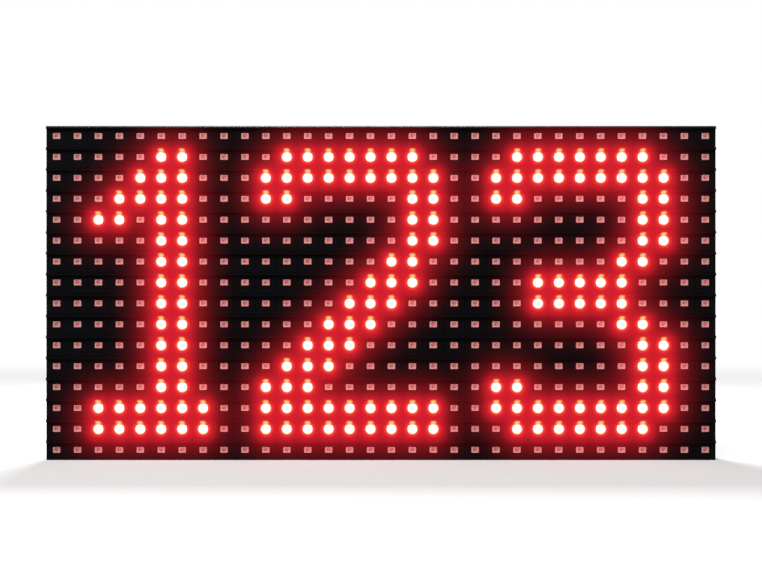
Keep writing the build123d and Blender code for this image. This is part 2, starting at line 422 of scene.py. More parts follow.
def front_mask_mesh():
    """Grid of the front, its sides, the rim behind and the back of the plate, as one closed shell."""
    xs, zs = mask_lines()
    depth, window = mask_surface(xs, zs)
    wide, high = len(xs), len(zs)
    grid_x, grid_z = np.meshgrid(xs, zs)
    points = list(zip(grid_x.ravel(), depth.ravel(), grid_z.ravel()))
    at = lambda i, j: j * wide + i
    open_cell = window[:-1, :-1] & window[1:, :-1] & window[:-1, 1:] & window[1:, 1:]
    faces = [
        (at(i, j), at(i + 1, j), at(i + 1, j + 1), at(i, j + 1))
        for j in range(high - 1) for i in range(wide - 1) if not open_cell[j, i]
    ]
    border = [at(i, 0) for i in range(wide)] + [at(wide - 1, j) for j in range(1, high)]
    border += [at(i, high - 1) for i in range(wide - 2, -1, -1)]
    border += [at(0, j) for j in range(high - 2, 0, -1)]
    rear = {}
    for corner in border:
        rear[corner] = len(points)
        points.append((points[corner][0], mask_back_y, points[corner][2]))
    for here, there in zip(border, border[1:] + border[:1]):
        faces.append((there, here, rear[here], rear[there]))

    inner_x, inner_z = face_high.x - mask_rim, face_high.z - mask_rim
    inner = [(side_x * inner_x, side_z * inner_z) for side_x, side_z in ((-1, -1), (1, -1), (1, 1), (-1, 1))]
    lip = len(points)
    points += [(x, mask_back_y, z) for x, z in inner]
    foot = len(points)
    points += [(x, plate_back_y, z) for x, z in inner]
    ends = (0, wide - 1, wide + high - 2, 2 * wide + high - 3, len(border))
    for side in range(4):
        edge = [rear[border[k % len(border)]] for k in range(ends[side], ends[side + 1] + 1)]
        after = (side + 1) % 4
        faces.append(tuple(edge[::-1]) + (lip + side, lip + after))
        faces.append((lip + after, lip + side, foot + side, foot + after))

    back_i = window_lines(xs, pixel_columns, window_half_width)
    back_j = window_lines(zs, pixel_rows, window_half_height)
    back_x = [-inner_x] + [xs[i] for i in back_i] + [inner_x]
    back_z = [-inner_z] + [zs[j] for j in back_j] + [inner_z]
    key = lambda x, z: (round(x, 6), round(z, 6))
    known = {key(x, z): foot + k for k, (x, z) in enumerate(inner)}
    for i in back_i:
        for j in back_j:
            known[key(xs[i], zs[j])] = at(i, j)
    for x in back_x:
        for z in back_z:
            if key(x, z) not in known:
                known[key(x, z)] = len(points)
                points.append((x, plate_back_y, z))
    place = [[known[key(x, z)] for x in back_x] for z in back_z]
    for j in range(len(back_z) - 1):
        for i in range(len(back_x) - 1):
            if not (i % 2 and j % 2):
                faces.append((place[j][i], place[j + 1][i], place[j + 1][i + 1], place[j][i + 1]))
    return points, faces


def mesh_piece(name, mesh, materials, kinds):
    """A piece that rides on the panel's one body. Kinds number the material of each face."""
    for material in materials:
        mesh.materials.append(material)
    if kinds is not None:
        mesh.polygons.foreach_set("material_index", kinds)
    piece = bpy.data.objects.new(name, mesh)
    bpy.context.scene.collection.objects.link(piece)
    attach(piece, "root")
    return piece


def new_piece(name, points, faces, *materials, kinds=None):
    """A piece made from its points and faces."""
    mesh = bpy.data.meshes.new(name)
    mesh.from_pydata([tuple(map(float, point)) for point in points], [], faces)
    return mesh_piece(name, mesh, materials, kinds)


def mottle_effect():
    """The unevenness of made things: one grain that varies their tone, gloss and surface."""
    group = bpy.data.node_groups.new("mottle", "ShaderNodeTree")
    given_sockets = (
        ("Scale", "Float", 100), ("Detail", "Float", 4), ("Stretch", "Vector", (1, 1, 1)),
        ("Dark", "Color", (0, 0, 0, 1)), ("Light", "Color", white),
        ("Dark End", "Float", 0.3), ("Light End", "Float", 0.7),
        ("Smooth", "Float", 0.4), ("Coarse", "Float", 0.5),
        ("Bump Strength", "Float", 0), ("Bump Depth", "Float", 0.01 * mm),
    )
    for name, kind, value in given_sockets:
        socket = group.interface.new_socket(name, in_out="INPUT", socket_type=f"NodeSocket{kind}")
        socket.default_value = value
    for name, kind in (("Color", "Color"), ("Roughness", "Float"), ("Normal", "Vector")):
        group.interface.new_socket(name, in_out="OUTPUT", socket_type=f"NodeSocket{kind}")
    effect = Finish(group)
    given = group.nodes.new("NodeGroupInput").outputs
    place = effect.add("TexCoord")
    spread = effect.add("Mapping", {"Vector": place.outputs["Object"], "Scale": given["Stretch"]})
    grain = effect.add("TexNoise", {
        "Vector": spread.outputs["Vector"], "Scale": given["Scale"], "Detail": given["Detail"],
    }).outputs["Fac"]
    share = effect.add("MapRange", {
        "Value": grain, "From Min": given["Dark End"], "From Max": given["Light End"],
    })
    gloss = effect.add("MapRange", {
        "Value": grain, "To Min": given["Smooth"], "To Max": given["Coarse"],
    })
    bump = effect.add("Bump", {
        "Height": grain, "Strength": given["Bump Strength"], "Distance": given["Bump Depth"],
    })
    output = group.nodes.new("NodeGroupOutput")
    tone = effect.mix(share.outputs["Result"], given["Dark"], given["Light"])
    group.links.new(tone, output.inputs["Color"])
    group.links.new(gloss.outputs["Result"], output.inputs["Roughness"])
    group.links.new(bump.outputs["Normal"], output.inputs["Normal"])
    return group


mottle = mottle_effect()


def add_mottle(finish, dark, light, scale, detail, **more):
    """The mottle between two tones, at a scale and detail of its own. Returns its outputs."""
    inputs = {"Dark": dark + (1,), "Light": light + (1,), "Scale": scale, "Detail": detail}
    inputs.update({name.replace("_", " ").title(): value for name, value in more.items()})
    return finish.add("Group", inputs, node_tree=mottle).outputs


def mottled_material(name, dark, light, scale, detail, inputs, **more):
    """A plain mottled material. Its gloss and surface vary too where more says how far."""
    material, finish = new_finish(name)
    shade = add_mottle(finish, dark, light, scale, detail, **more)
    varied = {"Base Color": shade["Color"]}
    if "smooth" in more:
        varied.update({"Roughness": shade["Roughness"], "Normal": shade["Normal"]})
    shader = finish.add("BsdfPrincipled", {**varied, **inputs})
    finish.add("OutputMaterial", {"Surface": shader.outputs["BSDF"]})
    return material


def mask_material():
    """Matt black plastic, finely ribbed across and stippled, with the pixels' glow painted on it."""
    material, finish = new_finish("mask_black_plastic")
    place = finish.add("TexCoord").outputs["Object"]
    ribs = finish.add("TexWave", {
        "Vector": place, "Scale": 900, "Distortion": 0.6,
    }, wave_type="BANDS", bands_direction="Z")
    stipple = finish.add("TexNoise", {"Vector": place, "Scale": 2600, "Detail": 3})
    height = finish.math("ADD", ribs.outputs["Fac"], stipple.outputs["Fac"])
    bump = finish.add("Bump", {"Height": height, "Strength": 0.35, "Distance": 0.08 * mm})
    shade = add_mottle(finish, (0.0006, 0.0005, 0.0009), (0.0026, 0.0022, 0.0032), 160, 4,
                       dark_end=0, light_end=1, smooth=0.52, coarse=0.72)
    plastic = finish.add("BsdfPrincipled", {
        "Base Color": shade["Color"], "Roughness": shade["Roughness"], "Normal": bump.outputs["Normal"],
        "Specular IOR Level": 0.035, **painted_glow_inputs(finish),
    })
    finish.add("OutputMaterial", {"Surface": plastic.outputs["BSDF"]})
    material.cycles.emission_sampling = "NONE"
    return material


mask_points, mask_faces = front_mask_mesh()
front_mask = new_piece("louvred_mask", mask_points, mask_faces, mask_material())
mask_array = np.array(mask_points, dtype=float)
mask_spill = painted_spill(mask_array[:, 0], mask_array[:, 2])
mask_spill[mask_array[:, 1] > plate_back_y - plain_border] = 0
pixel_attributes(front_mask, mask_spill, faces_lit(front_mask))
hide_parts("front_mask")

# Pixel packages. Each pixel is a surface-mounted package 3.5 mm wide: a pale moulded body with a
# round cup, a silvered lead frame in two parts on the cup's floor, and a small chip on one part.
package_half_width = 1.75 * mm
package_half_height = 1.4 * mm
package_edge = 0.12 * mm
package_side_points = 6
cup_radius = 1.15 * mm
cup_floor_radius = 0.98 * mm
cup_depth = 0.4 * mm
body_finish, lead_finish, chip_finish = 0, 1, 2

# Blocks of a package by their middle along X, half width, half height, depth of their front below
# the package's, and finish: the chip, the gap in the lead frame, and the two soldered ends.
package_blocks = (
    (-0.38 * mm, 0.30 * mm, 0.36 * mm, cup_depth - 0.15 * mm, chip_finish),
    (0.30 * mm, 0.07 * mm, 0.62 * mm, cup_depth - 0.03 * mm, chip_finish),
    (-package_half_width - 0.04 * mm, 0.05 * mm, 1.05 * mm, 0.5 * mm, lead_finish),
    (package_half_width + 0.04 * mm, 0.05 * mm, 1.05 * mm, 0.5 * mm, lead_finish),
)


class Shell:
    """Points, faces and kinds of one piece, gathered part by part."""

    def __init__(self):
        self.points, self.faces, self.kinds = [], [], []

    def add(self, points, faces, kinds=0):
        """Adds a part whose faces number its own points, of one kind or with a kind for each."""
        start = len(self.points)
        self.points += list(points)
        self.faces += [tuple(start + corner for corner in face) for face in faces]
        self.kinds += [kinds] * len(faces) if isinstance(kinds, int) else kinds


def ring_faces(rings, count):
    """Faces between rings of points that lie one after the other."""
    faces = []
    for ring in range(rings - 1):
        for k in range(count):
            here, there = ring * count + k, ring * count + (k + 1) % count
            faces.append((here, there, there + count, here + count))
    return faces


def package_outline(half_width, half_height):
    """Points round a package, the same number on each side and one at each corner."""
    corners = [(-half_width, -half_height), (half_width, -half_height),
               (half_width, half_height), (-half_width, half_height)]
    outline = []
    for (x0, z0), (x1, z1) in zip(corners, corners[1:] + corners[:1]):
        for step in range(package_side_points):
            share = step / package_side_points
            outline.append((x0 + (x1 - x0) * share, z0 + (z1 - z0) * share))
    return outline


def package_pattern(front_y, back_y):
    """One package about its own middle."""
    outer = package_outline(package_half_width, package_half_height)
    top = package_outline(package_half_width - package_edge, package_half_height - package_edge)
    turns = [math.atan2(z, x) for x, z in outer]
    floor_y = front_y + cup_depth
    rings = [
        [(x, back_y, z) for x, z in outer],
        [(x, front_y + package_edge, z) for x, z in outer],
        [(x, front_y, z) for x, z in top],
        [(cup_radius * math.cos(a), front_y, cup_radius * math.sin(a)) for a in turns],
        [(cup_floor_radius * math.cos(a), floor_y, cup_floor_radius * math.sin(a)) for a in turns],
    ]
    count = len(outer)
    pattern = Shell()
    pattern.add(sum(rings, []), ring_faces(len(rings), count), body_finish)
    floor_ring = (len(rings) - 1) * count
    for k in range(count):
        pattern.faces.append((floor_ring + k, floor_ring + (k + 1) % count, len(pattern.points)))
        pattern.kinds.append(lead_finish)
    pattern.points.append((0, floor_y, 0))
    for x, half_x, half_z, depth, kind in package_blocks:
        foot_y = back_y if abs(x) > package_half_width else floor_y
        corners = [(x - half_x, -half_z), (x + half_x, -half_z), (x + half_x, half_z), (x - half_x, half_z)]
        block = [(a, y, b) for y in (front_y + depth, foot_y) for a, b in corners]
        quads = ((0, 1, 2, 3), (1, 0, 4, 5), (2, 1, 5, 6), (3, 2, 6, 7), (0, 3, 7, 4))
        pattern.add(block, quads, kind)
    return pattern


def package_material(name, colour, metallic, roughness, grain):
    """Finish of one part of a package, mottled a little, with painted glow: bright where its pixel is lit,
    with painted red spill and haze from the others.
    """
    material, finish = new_finish(name)
    dark = tuple(c * (1 - grain) for c in colour)
    light = tuple(min(c * (1 + grain), 1) for c in colour)
    shade = add_mottle(finish, dark, light, 700, 3)
    shader = finish.add("BsdfPrincipled", {
        "Base Color": shade["Color"], "Metallic": metallic, "Roughness": roughness, **painted_glow_inputs(finish),
    })
    finish.add("OutputMaterial", {"Surface": shader.outputs["BSDF"]})
    material.cycles.emission_sampling = "NONE"
    return material


# The pale body and the silvered lead frame are tinted pink and red in their colours, as painted red light of
# the lit pixels.
package_finishes = (
    package_material("package_body", (0.62, 0.35, 0.325), 0, 0.45, 0.15),
    package_material("package_lead_frame", (0.50, 0.23, 0.22), 0.1, 0.35, 0.15),
    package_material("package_chip", (0.20, 0.05, 0.06), 0, 0.3, 0.25),
)
for row in range(pixel_rows):
    node = f"led_row_{row + 1:02d}"
    low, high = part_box(node)
    pattern = package_pattern(low.y, high.y)
    strip = Shell()
    for column in range(pixel_columns):
        x, z = pixel_place(column, row)
        strip.add(np.array(pattern.points) + np.array((x, 0, z)), pattern.faces, pattern.kinds)
    name = f"pixel_packages_{row + 1:02d}"
    packages = new_piece(name, strip.points, strip.faces, *package_finishes, kinds=strip.kinds)
    package_x, package_z = np.array(strip.points)[:, 0], np.array(strip.points)[:, 2]
    # Painted red light on the packages: the spill of the lit pixels near by and the haze of those farther
    # off.
    painted_red_light = painted_spill(package_x, package_z) + painted_package_haze(package_x, package_z)
    pixel_attributes(packages, painted_red_light, faces_lit(packages))
    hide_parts(node)

# Circuit board. A green glass-fibre board behind the mask, its front and back printed with the
# same resist. The gaps round the packages show it, so the glow of lit pixels is painted on it too.
board_low, board_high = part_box("circuit_board")
board_back_y = board_high.y


def resist_material():
    """Green solder resist, uneven in tone, over the weave of the glass, with the pixels' glow painted on it.
    """
    material, finish = new_finish("green_resist")
    place = finish.add("TexCoord").outputs["Object"]
    cloud = add_mottle(finish, (0.006, 0.295, 0.068), (0.011, 0.380, 0.094), 22, 5)
    weave = finish.add("TexChecker", {"Vector": place, "Scale": 1400})
    bump = finish.add("Bump", {"Height": weave.outputs["Fac"], "Strength": 0.12, "Distance": 0.03 * mm})
    resist = finish.add("BsdfPrincipled", {
        "Base Color": cloud["Color"], "Roughness": 0.38, "Normal": bump.outputs["Normal"],
        "Specular IOR Level": 0.25, **painted_glow_inputs(finish),
    })
    finish.add("OutputMaterial", {"Surface": resist.outputs["BSDF"]})
    material.cycles.emission_sampling = "NONE"
    return material


def pixel_borders(low, high, count):
    """The board's two edges along one axis, and the borders between the pixels."""
    return [low] + [(n - count / 2) * pixel_pitch for n in range(1, count)] + [high]


def board_mesh():
    """Board divided on its front into the squares of the pixels, with plain sides and back."""
    xs = pixel_borders(board_low.x, board_high.x, pixel_columns)
    zs = pixel_borders(board_low.z, board_high.z, pixel_rows)
    wide, high = len(xs), len(zs)
    last = wide * high - 1
    points = [(x, board_low.y, z) for z in zs for x in xs]
    faces = [
        (j * wide + i, j * wide + i + 1, (j + 1) * wide + i + 1, (j + 1) * wide + i)
        for j in range(high - 1) for i in range(wide - 1)
    ]
    back = len(points)
    for corner in (0, wide - 1, last, last - wide + 1):
        points.append((points[corner][0], board_high.y, points[corner][2]))
    edges = (
        range(wide), range(wide - 1, wide * high, wide),
        range(last, last - wide, -1), range(last - wide + 1, -1, -wide),
    )
    for side, edge in enumerate(edges):
        faces.append(tuple(edge)[::-1] + (back + side, back + (side + 1) % 4))
    faces.append((back + 3, back + 2, back + 1, back))
    return points, faces


board_points, board_faces = board_mesh()
board = new_piece("printed_board", board_points, board_faces, resist_material())
board_front = pixel_columns * pixel_rows
board_lit = faces_lit(board)[:board_front] + [0.0] * (len(board_faces) - board_front)
pixel_attributes(board, [0.0] * len(board_points), board_lit)
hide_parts("circuit_board")

# Printed copper. Tracks, broad supply bands and plated holes on the back of the board, seen
# through the resist as paler green, with bare tinned pads where the panel is tested. Places and
# widths on the board are in millimetres, as seen from behind.
track_width = 0.42
fan_width = 0.30
header_track_width = 0.34
via_radius = 0.56
small_via_radius = 0.42
small_via_sides = 8
board_edge = 61
band_height = 0.030 * mm
track_height = 0.048 * mm
pad_height = 0.064 * mm
via_height = 0.078 * mm
print_height = 0.092 * mm
shape_step = 0.0003 * mm
shape_steps = 41


def behind(x, z):
    """A place on the back of the board, from millimetres right and up as seen from behind."""
    return -x * mm, z * mm


def seen_behind(node):
    """Middle of a CAD node in those millimetres."""
    low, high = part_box(node)
    return -(low.x + high.x) / 2 / mm, (low.z + high.z) / 2 / mm


class Sheet:
    """Gathers the flat raised shapes of one finish on the back of the board."""

    def __init__(self, height):
        self.top = board_back_y + height
        self.points, self.faces = [], []

    def outline(self, corners):
        """A flat shape from its corners, with its edge down to the board, a hair off its neighbours."""
        start, count = len(self.points), len(corners)
        top = self.top + shape_step * (len(self.faces) % shape_steps)
        placed = [behind(x, z) for x, z in corners]
        self.points += [(x, top, z) for x, z in placed]
        self.points += [(x, board_back_y, z) for x, z in placed]
        self.faces.append(tuple(range(start, start + count)))
        for k in range(count):
            here, there = start + k, start + (k + 1) % count
            self.faces.append((there, here, here + count, there + count))

    def rectangle(self, x, z, width, height):
        """A rectangle by its middle."""
        a, b = width / 2, height / 2
        self.outline([(x - a, z - b), (x - a, z + b), (x + a, z + b), (x + a, z - b)])

    def rectangles(self, rows, x=0, z=0):
        """A rectangle for each row: its middle from a place, its width and its height."""
        for a, b, width, height in rows:
            self.rectangle(x + a, z + b, width, height)

    def disc(self, x, z, radius, sides=10):
        """A round dot."""
        turns = [-2 * math.pi * k / sides for k in range(sides)]
        self.outline([(x + radius * math.cos(t), z + radius * math.sin(t)) for t in turns])

    def line(self, places, width):
        """A track of even width through a list of places, mitred at its bends."""
        left, right = [], []
        for k, place in enumerate(places):
            here = np.array(place, dtype=float)
            before = here - np.array(places[k - 1], dtype=float) if k else None
            after = np.array(places[k + 1], dtype=float) - here if k + 1 < len(places) else None
            runs = [run / np.linalg.norm(run) for run in (before, after) if run is not None]
            along = sum(runs) / np.linalg.norm(sum(runs))
            side = np.array((-along[1], along[0]))
            reach = width / 2 / max(side @ np.array((-runs[0][1], runs[0][0])), 0.3)
            left.append(here + side * reach)
            right.append(here - side * reach)
        for k in range(len(places) - 1):
            self.outline([right[k], left[k], left[k + 1], right[k + 1]])

    def piece(self, name, material, slot):
        """Makes the gathered shapes into one piece on the board."""
        made = new_piece(name, self.points, self.faces, material)


def print_material(name, dark, light, roughness, metallic=0, scale=60):
    """Thin printed or plated layer with a slightly uneven tone."""
    inputs = {"Metallic": metallic, "Roughness": roughness, "Specular IOR Level": 0.25}
    return mottled_material(name, dark, light, scale, 4, inputs)


bands, tracks, vias, pads = Sheet(band_height), Sheet(track_height), Sheet(via_height), Sheet(pad_height)
driver_places = sorted(seen_behind(f"driver_chip_{number}") for number in range(1, 9))
switch_places = [seen_behind(f"row_switch_{number}") for number in range(1, 5)]
switch_places.sort(key=lambda place: -place[1])
header_places = sorted(seen_behind(f"data_header_{end}") for end in ("in", "out"))
header_pin_pitch = 2.54
header_first_pin = 8.9
buffer_x, buffer_z = seen_behind("buffer_chip")
power_x, power_z = seen_behind("power_housing")


def track(route, *holes):
    """One track through its places, with a plated hole wherever it passes one of the heights."""
    tracks.line(route, track_width)
    for hole in holes:
        for (x0, z0), (x1, z1) in zip(route, route[1:]):
            if min(z0, z1) <= hole <= max(z0, z1) and z0 != z1:
                vias.disc(x0 + (x1 - x0) * (hole - z0) / (z1 - z0), hole, via_radius)
                break


# Each column of pixels has a short track with two holes at the top, and one at the bottom that
# most columns start with a step aside. The long tracks between them are listed one by one.
straight_columns = (-111, 9, 19, 49, 129, 139)
bare_column = 39
upper_end, upper_hole = 47, 53.5
lower_end, lower_bend, lower_hole = -45.5, -45.6, -56
lower_step = 1.5
for x in range(-131, 140, 10):
    if x == bare_column:
        continue
    track([(x, board_edge), (x, upper_end)], upper_hole, upper_end)
    aside = 0 if x in straight_columns else lower_step
    lower_route = [(x + aside, lower_end), (x, lower_bend - aside), (x, -board_edge)]
    track(lower_route, lower_end, lower_hole)

# Each entry has the places that the track passes, and then the heights of its holes.
hand_led_tracks = (
    ([(-131, 37.5), (-131, 7.4)], 37.5, 26.1, 17.3, 7.4),
    ([(-131, -6.6), (-131, -33)], -6.6, -16.7, -27.7, -33), ([(-129.5, 30.5), (-129.5, -27)], 30.5, -27),
    ([(-121.4, 24), (-121.4, 13)], 24), ([(-121.4, -14), (-121.4, -36)], -17, -36),
    ([(-110, 35.4), (-110, 14.3)], 35.4, 23, 18.6), ([(-100.4, 35.2), (-100.4, 16)], 35.2, 26, 16),
    ([(-91, 35.4), (-91, 14.3), (-92.4, 12.4), (-92.4, 8)], 35.4, 26, 14.3),
    ([(-101.5, -6.6), (-101.5, -22), (-100.4, -25), (-100.4, -34.6)], -6.6, -16.7, -34.6),
    ([(-91.5, -14.3), (-91.5, -34)], -16.7, -27.7, -34), ([(-110, -15), (-110, -34)], -15),
    ([(-62.5, 41.9), (-62.5, 12.8)], 41.9, 12.8), ([(-60, 35.7), (-60, 6.7)], 35.7, 32.4, 25.3, 17.3, 6.7),
    ([(-53.6, 40.5), (-53.6, 9.5)], 40.5, 23.6, 18.6, 9.5), ([(-56.2, 6), (-56.2, -40.6)],),
    ([(-49.4, 35.5), (-51, 33.9), (-51, 8), (-49.8, 6.4)], 35.5, 24, 6.4),
    ([(-30.6, 41), (-42.2, 40.6), (-45.4, 38.4), (-45.4, -42)], -42),
    ([(-30.6, 39.6), (-36.2, 39.6), (-41, 34.6), (-41, 8.4), (-39.4, 6.4)], 28.2, 20.8, 13.5, 6.4),
    ([(-29.5, 36), (-31.2, 33.6), (-31.2, 27), (-29.5, 25), (-29.5, 7), (-28.4, 6)], 36, 31.2, 15, 6),
    ([(-21.5, 28), (-20.6, 26), (-20.6, 8)], 28, 22, 13.5, 8), ([(-9.8, 35.4), (-9.8, 26)], 35.4),
    ([(-70.4, -5.2), (-71.3, -6.6), (-71.3, -36.7)], -5.2, -16.7, -21.3, -31.4, -36.7),
    ([(-59, -5.2), (-59, -34.6)], -5.2, -13.2, -16, -18.6, -22.4, -25, -28.2, -31.4, -34.6),
    ([(-51, -6.3), (-51, -38.3)], -6.3, -26.6, -38.3), ([(-48.2, -16), (-48.2, -38)],),
    ([(-43.2, -16), (-43.2, -38)],), ([(-41, -6.3), (-41, -36.2)], -6.3, -26.6, -36.2),
    ([(-29.6, -5.2), (-31.2, -6.8), (-31.2, -32)], -5.2, -32), ([(-21, -4), (-21, -33)], -10, -16.7, -26.6),
    ([(-9.4, -4.2), (-9.4, -19), (-11, -21.6), (-11, -31.4)], -4.2, -12.2, -31.4),
    ([(9.4, 35.4), (9.4, 26)], 35.4), ([(18.4, 37.4), (18.4, 10), (17, 8.4), (17, -14)], 37.4, 28),
    ([(16.6, 30.9), (16.6, 14), (14.8, 12), (14.8, -10), (18.6, -14), (18.6, -24)], 30.9),
    ([(14.8, 30), (14.8, 16), (12.6, 14), (12.6, -8), (17.2, -12.6)],), ([(10.8, 20), (10.8, 5)], 16, 6),
    ([(30.4, 24.9), (30.4, 33), (34, 34.6), (36.2, 34.6)], 24.9), ([(40.5, 26), (40.5, 12)], 12),
    ([(50.3, 34.7), (49, 33.1), (49, 6.4)], 34.7, 26, 16, 6.4),
    ([(60.7, 34.7), (59.1, 33.1), (59.1, 4)], 34.7, 20, 4),
    ([(70.6, 34.7), (69.1, 33.1), (69.1, 4.6)], 34.7, 30.2, 21.6, 12.8, 4.6),
    ([(56.9, 19.7), (56.9, -31)], 19.7, -31), ([(72.4, 9.7), (72.4, -42.8)], 9.7, -42.8),
    ([(74.4, 40.7), (74.4, -20)], 40.7), ([(9.9, -4.8), (9.9, -33.6)], -4.8, -33.6),
    ([(40.5, -5.8), (40.5, -23.8)], -5.8), ([(48.6, -5.8), (48.6, -32.6)], -5.8, -16, -26, -32.6),
    ([(59, -5.8), (59, -32.2)], -5.8, -15.7, -26.2, -32.2),
    ([(69, -5.8), (69, -32.4), (70.4, -34.4)], -5.8, -15.7, -26.2, -34.4),
    ([(36, -16.4), (36, -24.6), (30, -24.6), (30, -33.8)], -16.4, -33.8), ([(27.4, -22), (30, -25)], -22),
    ([(43, -16.4), (43, -24)], -16.4), ([(35.6, -56), (32, -56.6), (29.4, -56.6)],),
    ([(92.6, 38.6), (94.6, 36.4), (94.6, 13)], 38.6, 26, 13), ([(90.6, 35.8), (90.6, 26)], 35.8),
    ([(99.4, 41), (98, 39.4), (98, 8)], 8),
    ([(109.4, 35.4), (104.8, 34), (99.4, 34), (99.4, 5.4)], 26, 15, 5.4),
    ([(109.4, 33.4), (109.4, 7), (111, 5.4)], 33.4, 26, 15, 5.4),
    ([(116.5, 27.6), (113.8, 24.9), (113.8, 12)], 27.6), ([(119.4, 33.6), (119.4, 13)], 33.6),
    ([(129.3, 32.5), (129.3, 15)], 32.5), ([(139, 35), (139, 8)], 35, 21),
    ([(99, -6), (99, -32.4)], -6, -10.8, -15.7, -20, -26, -32.4),
    ([(109.4, -6), (109.4, -29.4)], -6, -15.7, -26),
    ([(113.8, -8), (113.8, -14), (119, -19.4), (119, -34.8)], -19.4, -34.8),
    ([(130.7, -14.6), (129, -16.8), (129, -32.6)], -14.6, -32.6),
    ([(139, -16.3), (139, -32.6)], -16.3, -32.6),
    ([(90.8, -39.6), (98, -39.6), (103, -40), (109.8, -38)], -40),
)
for route, *holes in hand_led_tracks:
    track(route, *holes)

# Bands by their middle, top, bottom and width, the broad copper round the row switches by its
# left, right, top and bottom, and patches by their middle, width and height.
supply_bands = (
    (-126.5, board_edge, -50.4, 3.4), (-107.9, board_edge, 41, 2.8), (-105.8, 36, 15, 1.9),
    (-106.5, -45, -50.1, 1.6), (-88.4, -8, -50.4, 1.9), (-64.7, board_edge, -50.2, 1.9),
    (-16.9, board_edge, -34, 2.2), (-15.9, -34, -50, 1.7), (22.9, board_edge, 36, 2.3),
    (26.5, board_edge, 29, 2.4), (53.6, board_edge, -49.6, 4.4), (62.5, board_edge, -53.6, 2.4),
    (20.8, -32.7, -board_edge, 2.0), (23.7, -32.7, -board_edge, 2.0), (121.6, 33.6, 21.6, 1.1),
    (125.0, board_edge, 15, 3.8), (133.4, board_edge, -board_edge, 3.0), (123.8, -16, -49.7, 4.0),
)
for x, top, bottom, width in supply_bands:
    bands.rectangle(x, (top + bottom) / 2, width, top - bottom)
bent_bands = (
    ([(-105.8, 15), (-102, 11), (-99, 8)], 1.9), ([(90, 42.8), (110.5, 42.8)], 1.7),
    ([(90, -43.9), (96.8, -43.9), (98.6, -42.4), (111, -42.4)], 1.5),
)
for route, width in bent_bands:
    bands.line(route, width)
switch_copper = (
    (20.8, 24.8, 23.6, 6.6), (24.8, 29.5, 23.6, 18.2), (29.5, 34.5, 23.6, -17.6),
    (24.2, 34.5, -17.6, -21.0), (19.9, 24.2, -13.0, -25.4),
)
for left, right, top, bottom in switch_copper:
    bands.rectangle((left + right) / 2, (top + bottom) / 2, right - left, top - bottom)
copper_patches = ((27.2, 12.0, 2.4, 6.0), (42.6, 2.4, 17.0, 2.0), (42.6, -2.4, 17.0, 2.0))
bands.rectangles(copper_patches)

# Tracks of the drivers. From the upper chips they climb to a slant of small holes and drop on
# their way to the rows below, and from the lower ones they run straight off the board.
# A climb has the place of its lead along the chip and the place of its hole, and the other routes
# have the places they pass, all from the chip's middle.
upper_climbs = (
    (-2.7, -3.7, 6.6), (-2.1, -2.9, 8.0), (-1.4, -1.9, 9.5), (-0.6, -0.6, 6.3), (0.0, 0.6, 14.2),
    (0.8, 1.0, 10.3), (1.5, 2.1, 11.3), (2.2, 3.1, 12.5),
)
lower_climbs = (
    (-3.3, -6.0, 10.9), (-2.7, -5.0, 11.9), (-2.0, -3.7, 12.8), (-1.4, -2.3, 13.6), (0.7, 1.2, 7.8),
    (1.4, 2.1, 9.3), (2.2, 3.7, 8.0),
)
upper_drops = (
    ((-3.4, -3.6), (-5.2, -5.2), (-8.9, -7.2), (-8.9, -15.8)),
    ((-2.7, -3.6), (-2.7, -17.9), (-1.6, -19.6), (-0.2, -20.4)),
    ((-0.6, -3.6), (-0.6, -14.2), (0.8, -15.4), (0.8, -31.9)),
    ((1.0, -3.6), (1.0, -11.3), (2.9, -13.8), (2.9, -17.7)),
    ((2.4, -3.6), (5.4, -7.0), (5.4, -19.8)),
)
lower_runs = (
    ((-0.6, 3.6), (-0.6, 12.6), (1.2, 15.4), (1.2, 32.5)),
    ((-3.3, 22.8), (-2.7, 17.1), (-3.9, 15), (-9.1, 14.4), (-8.7, 5.1)),
    ((-12.2, 17.5), (-10.6, 15.6), (-10.6, 9.7)),
    ((3.3, 22.8), (3.3, 13.8)),
    ((-3.4, -3.6), (-7.7, -8), (-7.7, -14.2)),
    ((-4.6, -3.2), (-10.2, -6), (-10.2, -15.4)),
)
lower_straights = (-3.9, -2.5, -0.6, 1.0, 2.7, 4.4)
lead_ends = 3.3
lead_crowding = 0.8
short_of_turn = 0.01
spread_end = 4.4
side_holes = ((-6.4, 0.2), (-6.4, -2.6))
for x, z in driver_places:
    upper = z > 0
    for lead, hole_x, hole_z in upper_climbs if upper else lower_climbs:
        turn = hole_z - abs(hole_x - lead)
        bend = (x + lead, z + turn - short_of_turn)
        tracks.line([(x + lead, z + lead_ends), bend, (x + hole_x, z + hole_z)], fan_width)
        vias.disc(x + hole_x, z + hole_z, small_via_radius, small_via_sides)
    for route in upper_drops if upper else lower_runs:
        tracks.line([(x + a, z + b) for a, b in route], fan_width)
        vias.disc(x + route[-1][0], z + route[-1][1], small_via_radius, small_via_sides)
    for a in () if upper else lower_straights:
        start = (x + a * lead_crowding, z - lead_ends)
        tracks.line([start, (x + a, z - spread_end), (x + a, -board_edge)], fan_width)
    for a, b in side_holes:
        vias.disc(x + a, z + b, small_via_radius, small_via_sides)

# Tracks from the first header to the buffer, and from the buffer under the rib to the drivers.
buffer_leads_x = buffer_x - 4.0
buffer_first_lead = buffer_z + 2.4
buffer_track_pitch = 0.8
buffer_tracks = 7
bend_x = buffer_leads_x - 2
start_x = header_places[0][0] + 6
for n in range(buffer_tracks):
    start_z = header_first_pin - header_pin_pitch * n
    end_z = buffer_first_lead - buffer_track_pitch * n
    turn_x = bend_x - abs(start_z - end_z)
    route = [(start_x, start_z), (turn_x, start_z), (bend_x, end_z), (buffer_leads_x, end_z)]
    tracks.line(route, header_track_width)

